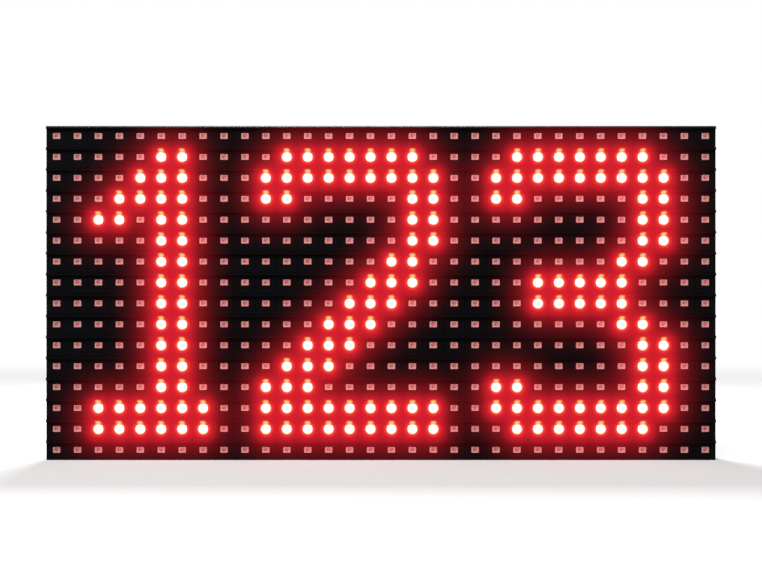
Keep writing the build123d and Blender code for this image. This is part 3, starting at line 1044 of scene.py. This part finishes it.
rib_edge = -77
rib_bend = 1.5
rib_pitch = 0.9
rib_tracks = (
    (1, 5.0, ((-73.4, 31.5), (-72.2, 31.0), (-70.6, 33.0), (-69.2, 35.7), (-67.6, 21.0))),
    (-1, -3.4, ((-73.4, -12.0), (-69.6, -9.0), (-67.4, -11.0))),
)
for side, first, ends in rib_tracks:
    for n, (x, end) in enumerate(ends):
        height = first - side * rib_pitch * n
        route = [(rib_edge, height), (x - rib_bend, height), (x, height + side * rib_bend), (x, end)]
        tracks.line(route, header_track_width)
        vias.disc(x, end, small_via_radius, small_via_sides)

# Bare pads by their middle, width and height.
test_pads = (
    (-126.5, -50.4, 3.4, 2.2), (-106.5, -50.1, 2.4, 2.2), (-88.4, -50.4, 2.4, 2.2), (-64.7, -50.2, 2.4, 2.2),
    (-15.9, -50.0, 2.4, 2.2), (53.6, -49.6, 6.2, 2.3), (62.5, 28.2, 2.4, 2.2), (62.5, -12.8, 2.4, 2.2),
    (62.5, -53.6, 2.4, 2.2), (20.8, -37.5, 2.0, 2.0), (21.2, -2.6, 1.8, 3.4), (124.0, -49.7, 3.6, 2.3),
)
pads.rectangles(test_pads)

band_finish = print_material("bands_under_resist", (0.060, 0.46, 0.10), (0.10, 0.56, 0.14), 0.4)
track_finish = print_material("tracks_under_resist", (0.22, 0.60, 0.20), (0.36, 0.74, 0.28), 0.4)
via_finish = print_material("plated_hole_rims", (0.52, 0.84, 0.50), (0.72, 0.92, 0.68), 0.35)
pad_finish = print_material("test_pad_plating", (0.42, 0.56, 0.38), (0.62, 0.70, 0.56), 0.4, 0.2, 400)
bands.piece("copper_bands", band_finish, "board")
tracks.piece("copper_tracks", track_finish, "board")
vias.piece("plated_holes", via_finish, "board")
pads.piece("test_pads", pad_finish, "board")

# Board printing. White ink lines round the parts, two pairs of arrows that show which way up and
# which way along the panels join, and plain numbers beside the drivers and the headers.
ink = Sheet(print_height)
arrow_reach = 12.8
arrow_shaft = 1.8
arrow_barb = 3.3
barb_width_share = 0.85
outline_width = 0.32
fine_outline_width = 0.22

# Frames and bars by their middle from that of the part they belong to, their width and height.
driver_frames = ((6.35, 1.5, 2.9, 2.6), (6.35, -1.5, 2.9, 2.6))
driver_bars = ((11.2, 2.3, 3.4, 1.2), (10.8, -2.2, 2.6, 1.2))
capacitor_bar = ((1.6, 6.2, 3.4, 1.2),)
switch_dot = ((4.6, -0.8, 1.7, 1.7),)
power_frame = (0, -1.9, 16.6, 11.2)
capacitor_frame_width = 8.2
header_pins_a_side = 8
header_bars = ((-7.8, 8.4, 1.8, 1.2), (-8.4, -8.9, 2.4, 1.2))
corner_x, corner_z, corner_height = 5.3, 13.0, 3.2
pin_tick_x, pin_word_x = 7.6, 11.0
list_x, list_words_x, list_top, list_pitch = -107.4, -104.6, -15.9, 2.35


def arrow(sheet, x, z, reach, shaft, barb):
    """Two arrows at a right angle, one up and one along."""
    sheet.line([(x, z + reach - shaft / 2), (x, z), (x + reach - shaft / 2, z)], shaft)
    for tip_x, tip_z, up in ((x, z + reach, 1), (x + reach, z, 0)):
        first = (tip_x - barb, tip_z - barb if up else tip_z + barb)
        last = (tip_x + barb if up else tip_x - barb, tip_z - barb)
        sheet.line([first, (tip_x, tip_z), last], shaft * barb_width_share)


def frame_line(x, z, width, height, thickness=outline_width):
    """Thin printed rectangle round a part."""
    for side in (-1, 1):
        ink.rectangle(x + side * width / 2, z, thickness, height + thickness)
        ink.rectangle(x, z + side * height / 2, width + thickness, thickness)


arrow(ink, -45.8, 0.0, arrow_reach, arrow_shaft, arrow_barb)
arrow(ink, 62.2, 0.3, arrow_reach, arrow_shaft, arrow_barb)
for x, z in driver_places:
    for a, b, width, height in driver_frames:
        frame_line(x + a, z + b, width, height)
    ink.rectangles(driver_bars, x, z)
for (x, z), side in zip(header_places, (1, -1)):
    for end in (-1, 1):
        ink.rectangle(x + side * corner_x, z + end * corner_z, outline_width, corner_height)
    for n in range(header_pins_a_side):
        pin_z = z + header_first_pin - header_pin_pitch * n
        ink.rectangle(x + side * pin_tick_x, pin_z, 2.2, 1.0)
        ink.rectangle(x + side * pin_word_x, pin_z, 3.4 if n % 3 else 2.4, 1.2)
    ink.rectangles([(side * a, b, width, height) for a, b, width, height in header_bars], x, z)
for n in range(header_pins_a_side):
    ink.rectangle(list_x, list_top - list_pitch * n, 2.0, 1.3)
    ink.rectangle(list_words_x, list_top - list_pitch * n, 1.3 if n % 2 else 1.7, 1.3)
offset_x, offset_z, width, height = power_frame
frame_line(power_x + offset_x, power_z + offset_z, width, height, fine_outline_width)
capacitor_places = [seen_behind(f"capacitor_base_{number}") for number in (1, 2)]
for x, z in capacitor_places:
    frame_line(x, z, capacitor_frame_width, capacitor_frame_width, fine_outline_width)
    ink.rectangles(capacitor_bar, x, z)
for x, z in switch_places:
    ink.rectangles(switch_dot, x, z)

# Plain numbers and signs, each with the place of its middle and its height.
small_size, sign_size, header_size = 2.6, 4.4, 5.4
font_size_per_height = 1.4
stroke_per_height = 0.03
printed_marks = [(str(n + 1), x - 7.2, z + 3.4, small_size) for n, (x, z) in enumerate(driver_places)]
printed_marks += [("+", power_x - 4.0, -13.6, sign_size), ("-", power_x + 4.6, -13.6, sign_size)]
printed_marks += [(str(n + 1), x - 9.6, z, small_size) for n, (x, z) in enumerate(switch_places)]
printed_marks += [("1-16", -113.2, 28.2, header_size), ("1-16", 122.6, -23.0, header_size)]
for mark, x, z, size in printed_marks:
    curve = bpy.data.curves.new("printed_number", "FONT")
    curve.body = mark
    curve.size = size * font_size_per_height
    curve.offset = size * stroke_per_height
    curve.align_x = "CENTER"
    curve.align_y = "CENTER"
    curve.resolution_u = 2
    holder = bpy.data.objects.new("printed_number", curve)
    flat = bpy.data.meshes.new_from_object(holder)
    for face in flat.polygons:
        corners = [flat.vertices[corner].co for corner in face.vertices]
        ink.outline([(x + corner.x, z + corner.y) for corner in corners][::-1])
    bpy.data.objects.remove(holder)
ink_finish = print_material("white_ink", (0.74, 0.76, 0.74), (0.88, 0.90, 0.88), 0.6, 0, 300)
ink.piece("board_printing", ink_finish, "board")
pale_arrow = Sheet(track_height)
arrow(pale_arrow, -98.3, 37.4, 8.0, 0.6, 2.2)
pale_arrow.piece("copper_arrow", track_finish, "board")

# Blank label. A white paper sticker, put on by hand a little askew, with its corners rounded.
label_width = 30.3
label_height = 8.4
label_radius = 0.7
label_turn = 1.2
label_x, label_z = -44.6, -12.5
label_thickness = 0.16 * mm
label = Sheet(label_thickness)
label_cos, label_sin = math.cos(math.radians(label_turn)), math.sin(math.radians(label_turn))
label_corners = []
for side_x, side_z, first in ((1, 1, 0), (-1, 1, 90), (-1, -1, 180), (1, -1, 270)):
    for step in range(4):
        turn = math.radians(first + 30 * step)
        a = side_x * (label_width / 2 - label_radius) + label_radius * math.cos(turn)
        b = side_z * (label_height / 2 - label_radius) + label_radius * math.sin(turn)
        turned_a, turned_b = a * label_cos - b * label_sin, a * label_sin + b * label_cos
        label_corners.append((label_x + turned_a, label_z + turned_b))
label.outline(label_corners[::-1])
label_paper = print_material("label_paper", (0.72, 0.72, 0.71), (0.82, 0.82, 0.81), 0.7, 0, 800)
label.piece("blank_label", label_paper, "board")

# Rear frame. Black glass-filled plastic, moulded in one with its ribs, ears, wells and pockets.
# Its rear face is cut into low four-sided facets that hide scratches and catch the light.
facet_reach = 6.1 * mm
facet_depth = 1.15 * mm
strip_inner_x = 149.2 * mm
strip_outer_x = 151.5 * mm
strip_inner_z = 70.7 * mm
strip_outer_z = 73.7 * mm
strip_edge = 0.15 * mm
pocket_depth = 6.0 * mm
rearward = 0.99
mostly_rearward = 0.8
frame_slack = 0.1 * mm
outer_face, pocket_floor, shaded_wall = 0, 1, 2


def merged_mesh(node):
    """Copy of a CAD node's mesh with its split corners joined and flat areas made whole."""
    shape = bmesh.new()
    shape.from_mesh(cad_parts[node].data)
    bmesh.ops.remove_doubles(shape, verts=shape.verts, dist=0.002 * mm)
    bmesh.ops.dissolve_limit(shape, angle_limit=math.radians(0.5), verts=shape.verts, edges=shape.edges)
    return shape


def shape_piece(name, shape, *materials, kinds=None):
    """A piece of an edited CAD shape, with new materials."""
    mesh = bpy.data.meshes.new(name)
    shape.to_mesh(mesh)
    shape.free()
    mesh.materials.clear()
    return mesh_piece(name, mesh, materials, kinds)


def facet_height(x, z):
    """Height of the facets at a place, from 0 in the valleys to 1 at the peaks."""
    across = abs((x + z + facet_reach) % (2 * facet_reach) - facet_reach)
    down = abs((x - z + facet_reach) % (2 * facet_reach) - facet_reach)
    return 1 - max(across, down) / facet_reach


def on_plain_strip(x, z):
    """Whether a place lies on the plain strip between the seal groove and the facets inside it."""
    beyond = abs(x) > strip_inner_x - mesh_slack or abs(z) > strip_inner_z - mesh_slack
    return beyond and abs(x) < strip_outer_x and abs(z) < strip_outer_z


def facet_creases(low, high):
    """Planes that hold the creases of the facets and the sides of the plain strip."""
    creases = []
    for side in (-1, 1):
        for step in (0, strip_edge):
            creases.append(((side * (strip_inner_x - step), 0, 0), (1, 0, 0)))
            creases.append(((0, 0, side * (strip_inner_z - step)), (0, 0, 1)))
    for k in range(math.floor(low.x / facet_reach), math.ceil(high.x / facet_reach) + 1):
        creases.append(((k * facet_reach, 0, 0), (1, 0, 0)))
    for k in range(math.floor(low.z / facet_reach), math.ceil(high.z / facet_reach) + 1):
        creases.append(((0, 0, k * facet_reach), (0, 0, 1)))
    reach = int((high.x + high.z) / (2 * facet_reach)) + 2
    for k in range(-reach, reach + 1):
        for side in (1, -1):
            creases.append((((2 * k + 1) * facet_reach, 0, 0), (1, 0, side)))
    return creases


def cut_facets(shape, low, high):
    """Cuts the rear face along every crease of the facets and lowers its valleys."""
    rear_y = high.y - mesh_slack
    bmesh.ops.triangulate(shape, faces=[face for face in shape.faces if face.normal.y > rearward])
    for place, direction in facet_creases(low, high):
        rear = [
            face for face in shape.faces
            if face.normal.y > rearward and face.calc_center_median().y > rear_y
        ]
        edges = list({edge for face in rear for edge in face.edges})
        corners = list({corner for face in rear for corner in face.verts})
        cut = rear + edges + corners
        bmesh.ops.bisect_plane(shape, geom=cut, dist=0.0005 * mm, plane_co=place, plane_no=direction)
    for corner in shape.verts:
        if corner.co.y > rear_y:
            x, z = corner.co.x, corner.co.z
            corner.co.y -= facet_depth * (1 if on_plain_strip(x, z) else 1 - facet_height(x, z))
    shape.normal_update()


def frame_material(name, dark, light, smooth, coarse, shine):
    """Black moulded plastic with a fine grain and faint flow marks."""
    material, finish = new_finish(name)
    place = finish.add("TexCoord").outputs["Object"]
    grain = finish.add("TexNoise", {"Vector": place, "Scale": 1500, "Detail": 4})
    flow = add_mottle(finish, dark, light, 35, 5, smooth=smooth, coarse=coarse)
    speckle = finish.mix(0.35, flow["Color"], grain.outputs["Color"], "OVERLAY")
    bump = finish.add("Bump", {"Height": grain.outputs["Fac"], "Strength": 0.45, "Distance": 0.06 * mm})
    plastic = finish.add("BsdfPrincipled", {
        "Base Color": speckle, "Roughness": flow["Roughness"], "Normal": bump.outputs["Normal"],
        "Specular IOR Level": shine,
    })
    finish.add("OutputMaterial", {"Surface": plastic.outputs["BSDF"]})
    return material


frame_low, frame_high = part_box("rear_frame")
pocket_floor_y = frame_high.y - pocket_depth
frame_shape = merged_mesh("rear_frame")
cut_facets(frame_shape, frame_low, frame_high)
frame_kinds = []
for face in frame_shape.faces:
    middle = face.calc_center_median()
    inside = abs(middle.x) < frame_high.x - frame_slack and abs(middle.z) < frame_high.z - frame_slack
    below = middle.y < frame_high.y - facet_depth - frame_slack
    kind = shaded_wall if inside and (face.normal.y < mostly_rearward or below) else outer_face
    if face.normal.y > mostly_rearward and abs(middle.y - pocket_floor_y) < frame_slack:
        kind = pocket_floor
    frame_kinds.append(kind)
# The walls and hollows inside the frame take a darker, duller copy of the plastic as painted shade, and the
# floors of the pockets a lighter copy as painted light.
frame_finishes = (
    frame_material("frame_black_plastic", (0.005, 0.0055, 0.007), (0.013, 0.014, 0.016), 0.25, 0.34, 0.46),
    frame_material("frame_pocket_floors_painted_light", (0.014, 0.0145, 0.016), (0.026, 0.027, 0.030), 0.55, 0.70, 0.25),
    frame_material("frame_walls_painted_shade", (0.004, 0.004, 0.005), (0.008, 0.008, 0.010), 0.60, 0.75, 0.12),
)
faceted_frame = shape_piece("faceted_frame", frame_shape, *frame_finishes, kinds=frame_kinds)
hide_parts("rear_frame")

# Inserts. Four turned brass inserts take the screws that hold the panel in its sign. The frame
# is moulded round them, so each sits in a dark ring with its end level with the mounting plane.
insert_sides = 40
insert_radius = 2.9 * mm
insert_chamfer = 0.25 * mm
insert_mouth = 2.15 * mm
insert_throat = 1.40 * mm
insert_thread_crest = 1.27 * mm
insert_thread_root = 1.62 * mm
thread_pitch = 0.6 * mm
knurl_radius = 2.7 * mm
knurl_depth = 0.03


def turned(profile, middle, sides, knurl=0):
    """Points and faces of a shape turned about the Y axis, from its radius and depth pairs."""
    points = []
    for radius, y in profile:
        for k in range(sides):
            turn = 2 * math.pi * k / sides
            reach = radius * (1 - knurl * (k % 2)) if radius > knurl_radius else radius
            points.append((middle[0] + reach * math.cos(turn), y, middle[1] + reach * math.sin(turn)))
    return points, [face[::-1] for face in ring_faces(len(profile), sides)]


def metal_material(name, dark, light, roughness, scratch_scale, stretch=(1, 1, 1)):
    """Bare metal, a little mottled, with fine tool marks in its gloss."""
    return mottled_material(
        name, dark, light, scratch_scale, 3, {"Metallic": 1.0}, stretch=stretch,
        smooth=roughness * 0.7, coarse=roughness * 1.4, bump_strength=0.2, bump_depth=0.02 * mm,
    )


brass = metal_material("turned_brass", (0.80, 0.56, 0.24), (0.96, 0.78, 0.44), 0.3, 900, (1, 0.1, 1))
for number in range(1, 5):
    low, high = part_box(f"mounting_insert_{number}")
    middle = ((low.x + high.x) / 2, (low.z + high.z) / 2)
    depth = high.y - (insert_mouth - insert_throat)
    profile = [
        (insert_radius, low.y), (insert_radius, high.y - insert_chamfer),
        (insert_radius - insert_chamfer, high.y), (insert_mouth, high.y), (insert_throat, depth),
    ]
    while depth > low.y + thread_pitch:
        profile += [(insert_thread_root, depth), (insert_thread_crest, depth - thread_pitch / 2)]
        depth -= thread_pitch
    profile += [(insert_thread_root, low.y), (insert_radius, low.y)]
    points, faces = turned(profile, middle, insert_sides, knurl_depth)
    insert = new_piece(f"threaded_insert_{number}", points, faces, brass)
    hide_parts(f"mounting_insert_{number}")

# Frame screws. Small pan-head screws at the floors of the wells pull the mask, the board and the
# frame together. Each has a cross recess and sits in the dark of its well; its steel is made near black as
# painted shade of the deep well.
screw_head_radius = 2.1 * mm
screw_head_height = 1.1 * mm
screw_sides = 16
screw_turn = 0.7
well_floor_y = frame_low.y + 2.5 * mm
screw_steel = metal_material("screws_painted_dark", (0.010, 0.010, 0.011), (0.028, 0.028, 0.030), 0.45, 700)
quarter_wells = ((10, 70), (60, 70), (100, 70), (150, 70), (10, 20), (80, 20), (150, 20), (80, 66.5))
well_places = [
    (side_x * x, side_z * z) for side_x in (-1, 1) for side_z in (-1, 1) for x, z in quarter_wells
]
well_places += [(0, 66.5), (0, -66.5)]

# Radius and height of the head's rings, of the cross in its top and of the cross's floor, with
# the heights as shares of the head's.
head_rings = (
    (screw_head_radius, 0), (screw_head_radius, 0.45), (screw_head_radius * 0.8, 0.85), (1.3 * mm, 1.0),
)
cross_arm = (1.2 * mm, 0.45)
cross_inner_corner = (0.35 * mm, 0.95)
cross_floor = 0.35


def screw_head(x, z, turn):
    """Domed head with a sunk cross, drawn as rings of points."""
    rings = [[ring] * screw_sides for ring in head_rings]
    rings.append([cross_inner_corner if k % 4 else cross_arm for k in range(screw_sides)])
    points = []
    for ring in rings:
        for k, (radius, share) in enumerate(ring):
            angle = turn + 2 * math.pi * k / screw_sides
            across, up = x * mm + radius * math.cos(angle), z * mm + radius * math.sin(angle)
            points.append((across, well_floor_y + share * screw_head_height, up))
    cross, middle = len(points) - screw_sides, len(points)
    points.append((x * mm, well_floor_y + cross_floor * screw_head_height, z * mm))
    faces = ring_faces(len(rings), screw_sides)
    faces += [(cross + k, cross + (k + 1) % screw_sides, middle) for k in range(screw_sides)]
    return points, [face[::-1] for face in faces]


screws = Shell()
for number, (x, z) in enumerate(well_places):
    screws.add(*screw_head(x, z, number * screw_turn))
frame_screws = new_piece("frame_screws", screws.points, screws.faces, screw_steel)

# Data headers. Two black moulded shrouds with a key slot and two rows of eight gold-plated pins,
# one for the ribbon cable that comes in and one for the cable that goes on to the next panel.
sharp_angle = math.radians(25)


def softened(node, name, width, material):
    """Piece with the shape of a CAD node and its sharp edges rounded, as moulding leaves them."""
    shape = merged_mesh(node)
    sharp = [
        edge for edge in shape.edges
        if len(edge.link_faces) == 2 and edge.calc_face_angle() > sharp_angle
    ]
    bmesh.ops.bevel(
        shape, geom=sharp, offset=width, segments=2, profile=0.6, affect="EDGES", clamp_overlap=True,
    )
    piece = shape_piece(name, shape, material)
    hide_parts(node)


def plastic_material(name, dark, light, roughness, scale, bump_depth):
    """Moulded plastic or resin with a fine satin texture."""
    return mottled_material(
        name, dark, light, scale, 4, {"Specular IOR Level": 0.3}, smooth=roughness * 0.85,
        coarse=roughness * 1.2, bump_strength=0.3, bump_depth=bump_depth,
    )


coarse_texture, fine_texture = 0.02 * mm, 0.01 * mm
shroud_plastic = plastic_material(
    "shroud_plastic", (0.003, 0.003, 0.0035), (0.008, 0.0075, 0.008), 0.5, 1800, coarse_texture,
)
pin_gold = metal_material("gold_pins", (0.86, 0.76, 0.56), (0.97, 0.93, 0.82), 0.28, 1500)
for end in ("in", "out"):
    softened(f"data_header_{end}", f"header_shroud_{end}", 0.14 * mm, shroud_plastic)
    softened(f"data_pins_{end}", f"header_contacts_{end}", 0.13 * mm, pin_gold)

# Power header. A black housing round four stout tinned pins, whose feet lie on the board below
# it in a row of solder.
pin_tin = metal_material("tinned_pins", (0.66, 0.62, 0.56), (0.86, 0.83, 0.78), 0.28, 1200)
softened("power_housing", "supply_housing", 0.2 * mm, shroud_plastic)
softened("power_pins", "supply_contacts", 0.2 * mm, pin_tin)
softened("power_feet", "supply_feet", 0.12 * mm, pin_tin)

# Chips. Eight drivers, four row switches and a buffer, each a resin body with its leads bent
# down to the board in two rows, and a dimple beside its first lead.
chip_resin = plastic_material(
    "chip_resin", (0.060, 0.045, 0.044), (0.105, 0.082, 0.080), 0.42, 1300, fine_texture,
)
lead_metal = metal_material("tinned_leads", (0.60, 0.60, 0.58), (0.84, 0.84, 0.82), 0.25, 1600)
body_kind, metal_kind = 0, 1
chip_draft = 0.12 * mm
chip_bevel = 0.2 * mm
dimple_radius = 0.38 * mm
dimple_depth = 0.12 * mm
dimple_sides = 12
dimple_inset_x, dimple_inset_z = 1.0 * mm, 0.95 * mm
lead_rise = 0.75 * mm
lead_thickness = 0.18 * mm
lead_root = 0.1 * mm
lead_shoulder = 0.28 * mm
lead_slope = 0.18 * mm
lead_reach = 1.05 * mm
driver_leads, driver_lead_pitch = 12, 0.635
switch_leads, switch_lead_pitch = 4, 1.27
buffer_leads, buffer_pin_pitch = 10, 0.65


def chip_body(half_long, half_wide, bottom, top):
    """Body with drafted sides, a parting line at mid height, a bevelled rim and a dimple."""
    levels = (
        (bottom, chip_draft), ((bottom + top) / 2, 0), (top - chip_bevel / 2, chip_draft),
        (top, chip_draft + chip_bevel),
    )
    points = []
    for y, inset in levels:
        a, b = half_long - inset, half_wide - inset
        points += [(-a, y, -b), (a, y, -b), (a, y, b), (-a, y, b)]
    faces = [(0, 1, 2, 3)]
    for level in range(len(levels) - 1):
        for k in range(4):
            here, there = level * 4 + k, level * 4 + (k + 1) % 4
            faces.append((there, here, here + 4, there + 4))
    corner, rim, floor = len(points) - 4, len(points), len(points) + dimple_sides
    for radius, y in ((dimple_radius, top), (dimple_radius * 0.8, top - dimple_depth)):
        for k in range(dimple_sides):
            turn = 2 * math.pi * k / dimple_sides - math.pi * 0.75
            dimple_x = dimple_inset_x - half_long + radius * math.cos(turn)
            points.append((dimple_x, y, dimple_inset_z - half_wide + radius * math.sin(turn)))
    for k in range(dimple_sides):
        after = (k + 1) % dimple_sides
        faces.append((floor + after, floor + k, rim + k, rim + after))
    faces.append(tuple(range(floor, floor + dimple_sides))[::-1])
    for side in range(4):
        ring = [rim + (3 * side + step) % dimple_sides for step in range(4)]
        faces.append((corner + (side + 1) % 4, corner + side, *ring))
    return points, faces


def bent_lead(along, side, half_wide, width):
    """One lead: out of the body's side, down to the board, and out along its pad."""
    shoulder, on_pad = half_wide + lead_shoulder, lead_thickness * 0.7
    path = (
        (half_wide - lead_root, lead_rise), (shoulder, lead_rise), (shoulder + lead_slope, on_pad),
        (half_wide + lead_reach, on_pad),
    )
    points = []
    for out, rise in path:
        for height in (rise - lead_thickness / 2, rise + lead_thickness / 2):
            for edge in (-width / 2, width / 2):
                points.append((along + edge, board_back_y + height, side * out))
    faces = []
    for a in (0, 4, 8):
        b = a + 4
        faces += [(a, a + 1, b + 1, b), (a + 3, a + 2, b + 2, b + 3)]
        faces += [(a + 2, a, b, b + 2), (a + 1, a + 3, b + 3, b + 1)]
    faces.append((12, 13, 15, 14))
    return points, [face if side > 0 else face[::-1] for face in faces]


def chip_piece(node, name, leads_per_side, lead_pitch, lead_width, upright=False):
    """Body and leads of one chip, where its node stands."""
    low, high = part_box(node)
    middle = (low + high) / 2
    half_long, half_wide = (high.x - low.x) / 2, (high.z - low.z) / 2
    if upright:
        half_long, half_wide = half_wide, half_long
    chip = Shell()
    chip.add(*chip_body(half_long, half_wide, low.y, high.y), body_kind)
    for side in (-1, 1):
        for lead in range(leads_per_side):
            along = (lead - (leads_per_side - 1) / 2) * lead_pitch * mm
            chip.add(*bent_lead(along, side, half_wide, lead_width), metal_kind)
    points = [(z, y, -x) for x, y, z in chip.points] if upright else chip.points
    placed = [(x + middle.x, y, z + middle.z) for x, y, z in points]
    piece = new_piece(name, placed, chip.faces, chip_resin, lead_metal, kinds=chip.kinds)
    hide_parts(node)


for number in range(1, 9):
    node, name = f"driver_chip_{number}", f"pixel_driver_{number}"
    chip_piece(node, name, driver_leads, driver_lead_pitch, 0.25 * mm)
for number in range(1, 5):
    node, name = f"row_switch_{number}", f"row_transistors_{number}"
    chip_piece(node, name, switch_leads, switch_lead_pitch, 0.42 * mm)
chip_piece("buffer_chip", "signal_buffer", buffer_leads, buffer_pin_pitch, 0.24 * mm, upright=True)

# Solder pads under the leads. Bare tinned copper that shows as a bright row beyond each chip,
# with two broad pads over each row switch.
tin_finish = print_material("tinned_pads", (0.66, 0.66, 0.63), (0.86, 0.86, 0.83), 0.35, 0.35, 400)
switch_pads = ((-1.3, 5.0, 2.0, 2.5), (1.4, 4.7, 1.9, 1.7))
lead_pads = Sheet(pad_height)
for x, z in driver_places:
    for lead in range(driver_leads):
        lead_x = x + (lead - (driver_leads - 1) / 2) * driver_lead_pitch
        lead_pads.rectangle(lead_x, z + 2.9, 0.50, 1.7)
        lead_pads.rectangle(lead_x, z - 2.7, 0.32, 1.2)
for x, z in switch_places:
    for lead in range(switch_leads):
        lead_x = x + (lead - (switch_leads - 1) / 2) * switch_lead_pitch
        for side in (-1, 1):
            lead_pads.rectangle(lead_x, z + side * 2.75, 0.7, 1.6)
    lead_pads.rectangles(switch_pads, x, z)
for x, z in capacitor_places:
    for side in (-1, 1):
        lead_pads.rectangle(x, z + side * 4.3, 1.7, 2.6)
for lead in range(buffer_leads):
    lead_z = buffer_z + (lead - (buffer_leads - 1) / 2) * buffer_pin_pitch
    for side in (-1, 1):
        lead_pads.rectangle(buffer_x + side * 2.95, lead_z, 1.5, 0.36)
lead_pads.piece("lead_pads", tin_finish, "tinned_metal")

# Small ceramic parts. A capacitor and a resistor stand beside each driver, and each row switch
# has one above it. They are ceramic blocks with tinned ends, soldered at both.
capacitor_ceramic = plastic_material(
    "capacitor_ceramic", (0.30, 0.21, 0.13), (0.42, 0.31, 0.20), 0.5, 1500, fine_texture,
)
resistor_glaze = plastic_material(
    "resistor_glaze", (0.012, 0.012, 0.013), (0.03, 0.03, 0.032), 0.3, 1500, fine_texture,
)
ceramic_bevel = 0.06 * mm
ceramic_cap = 0.36 * mm
driver_block = (0.8 * mm, 0.4 * mm, 0.5 * mm)
switch_block = (1.0 * mm, 0.62 * mm, 0.8 * mm)


def ceramic_block(x, z, half_long, half_wide, height):
    """Bevelled block along X with a tinned cap at each end. Returns points, faces and kinds."""
    waist, bevel = half_long - ceramic_cap, ceramic_bevel
    stations = ((-half_long, 0), (-waist, 0), (-waist, bevel), (waist, bevel), (waist, 0), (half_long, 0))
    points = []
    for along, inset in stations:
        w, top = half_wide - inset, board_back_y + height - inset
        left = [(-w, board_back_y), (-w, top - bevel), (-w + bevel, top)]
        right = [(w - bevel, top), (w, top - bevel), (w, board_back_y)]
        points += [(x + along, y, z + across) for across, y in left + right]
    faces = ring_faces(6, 6)
    kinds = [body_kind if place // 6 == 2 else metal_kind for place in range(len(faces))]
    faces += [(5, 4, 3, 2, 1, 0), (30, 31, 32, 33, 34, 35)]
    return points, faces, kinds + [metal_kind, metal_kind]


def block_piece(name, node, places, size, body):
    """All the ceramic parts of one kind as one piece."""
    blocks = Shell()
    for x, z in places:
        blocks.add(*ceramic_block(x, z, *size))
    piece = new_piece(name, blocks.points, blocks.faces, body, lead_metal, kinds=blocks.kinds)
    if node:
        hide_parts(node)


beside_driver = 6.35 * mm
off_middle = 1.2 * mm
capacitor_parts = [(-x * mm - beside_driver, z * mm + off_middle) for x, z in driver_places]
resistor_parts = [(-x * mm - beside_driver, z * mm - off_middle) for x, z in driver_places]
switch_parts = [(-(x + 4.9) * mm, (z + 2.6) * mm) for x, z in switch_places]
block_piece("filter_capacitors", "chip_capacitors", capacitor_parts, driver_block, capacitor_ceramic)
block_piece("setting_resistors", "chip_resistors", resistor_parts, driver_block, resistor_glaze)
block_piece("switch_capacitors", None, switch_parts, switch_block, capacitor_ceramic)

# Electrolytic capacitors. Drawn aluminium cans with a bead rolled near the foot, on black
# plinths with two cut corners, soldered by a flat terminal at each end. The black segment of the
# lid marks the negative side.
can_aluminium = metal_material(
    "drawn_aluminium", (0.72, 0.72, 0.73), (0.90, 0.90, 0.91), 0.25, 500, (1, 0.15, 1),
)
lid_black = plastic_material(
    "lid_marking", (0.008, 0.008, 0.010), (0.02, 0.02, 0.022), 0.4, 900, fine_texture,
)
can_sides = 48

# The wall by its shares of the can's radius and height, then the lid's edge by its inset and drop.
wall_shares = ((0.9, 0), (1, 0.1), (1, 0.20), (0.93, 0.25), (0.93, 0.29), (1, 0.34))
lid_steps = ((0, 0.5 * mm), (0.15 * mm, 0.15 * mm), (0.45 * mm, 0), (0.5 * mm, 0))
mark_first, mark_last = round(can_sides * 0.535), round(can_sides * 0.965)
terminal_height = 0.4 * mm
can_terminals = Sheet(terminal_height)
for number, (x, z) in enumerate(capacitor_places, 1):
    for side in (-1, 1):
        can_terminals.rectangle(x, z + side * 3.9, 0.9, 1.7)
    base, plinth = f"capacitor_base_{number}", f"can_plinth_{number}"
    softened(base, plinth, 0.15 * mm, shroud_plastic)
    low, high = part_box(f"capacitor_can_{number}")
    middle = ((low.x + high.x) / 2, (low.z + high.z) / 2)
    radius, rise = (high.x - low.x) / 2, high.y - low.y
    profile = [(radius * share, low.y + rise_share * rise) for share, rise_share in wall_shares]
    profile += [(radius - inset, high.y - drop) for inset, drop in lid_steps]
    points, faces = turned(profile, middle, can_sides)
    kinds = []
    for place in range(len(faces)):
        ring, k = divmod(place, can_sides)
        kinds.append(int(ring >= len(wall_shares) and mark_first <= k < mark_last))
    lid = (len(profile) - 1) * can_sides
    marked = [lid + k for k in range(mark_first, mark_last + 1)]
    plain = [lid + k % can_sides for k in range(mark_last, mark_first + can_sides + 1)]
    faces += [tuple(marked[::-1]), tuple(plain[::-1])]
    kinds += [1, 0]
    can_piece = new_piece(f"aluminium_can_{number}", points, faces, can_aluminium, lid_black, kinds=kinds)
    can_piece.data.shade_smooth()
    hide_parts(f"capacitor_can_{number}")
can_terminals.piece("can_terminals", lead_metal, "tinned_metal")
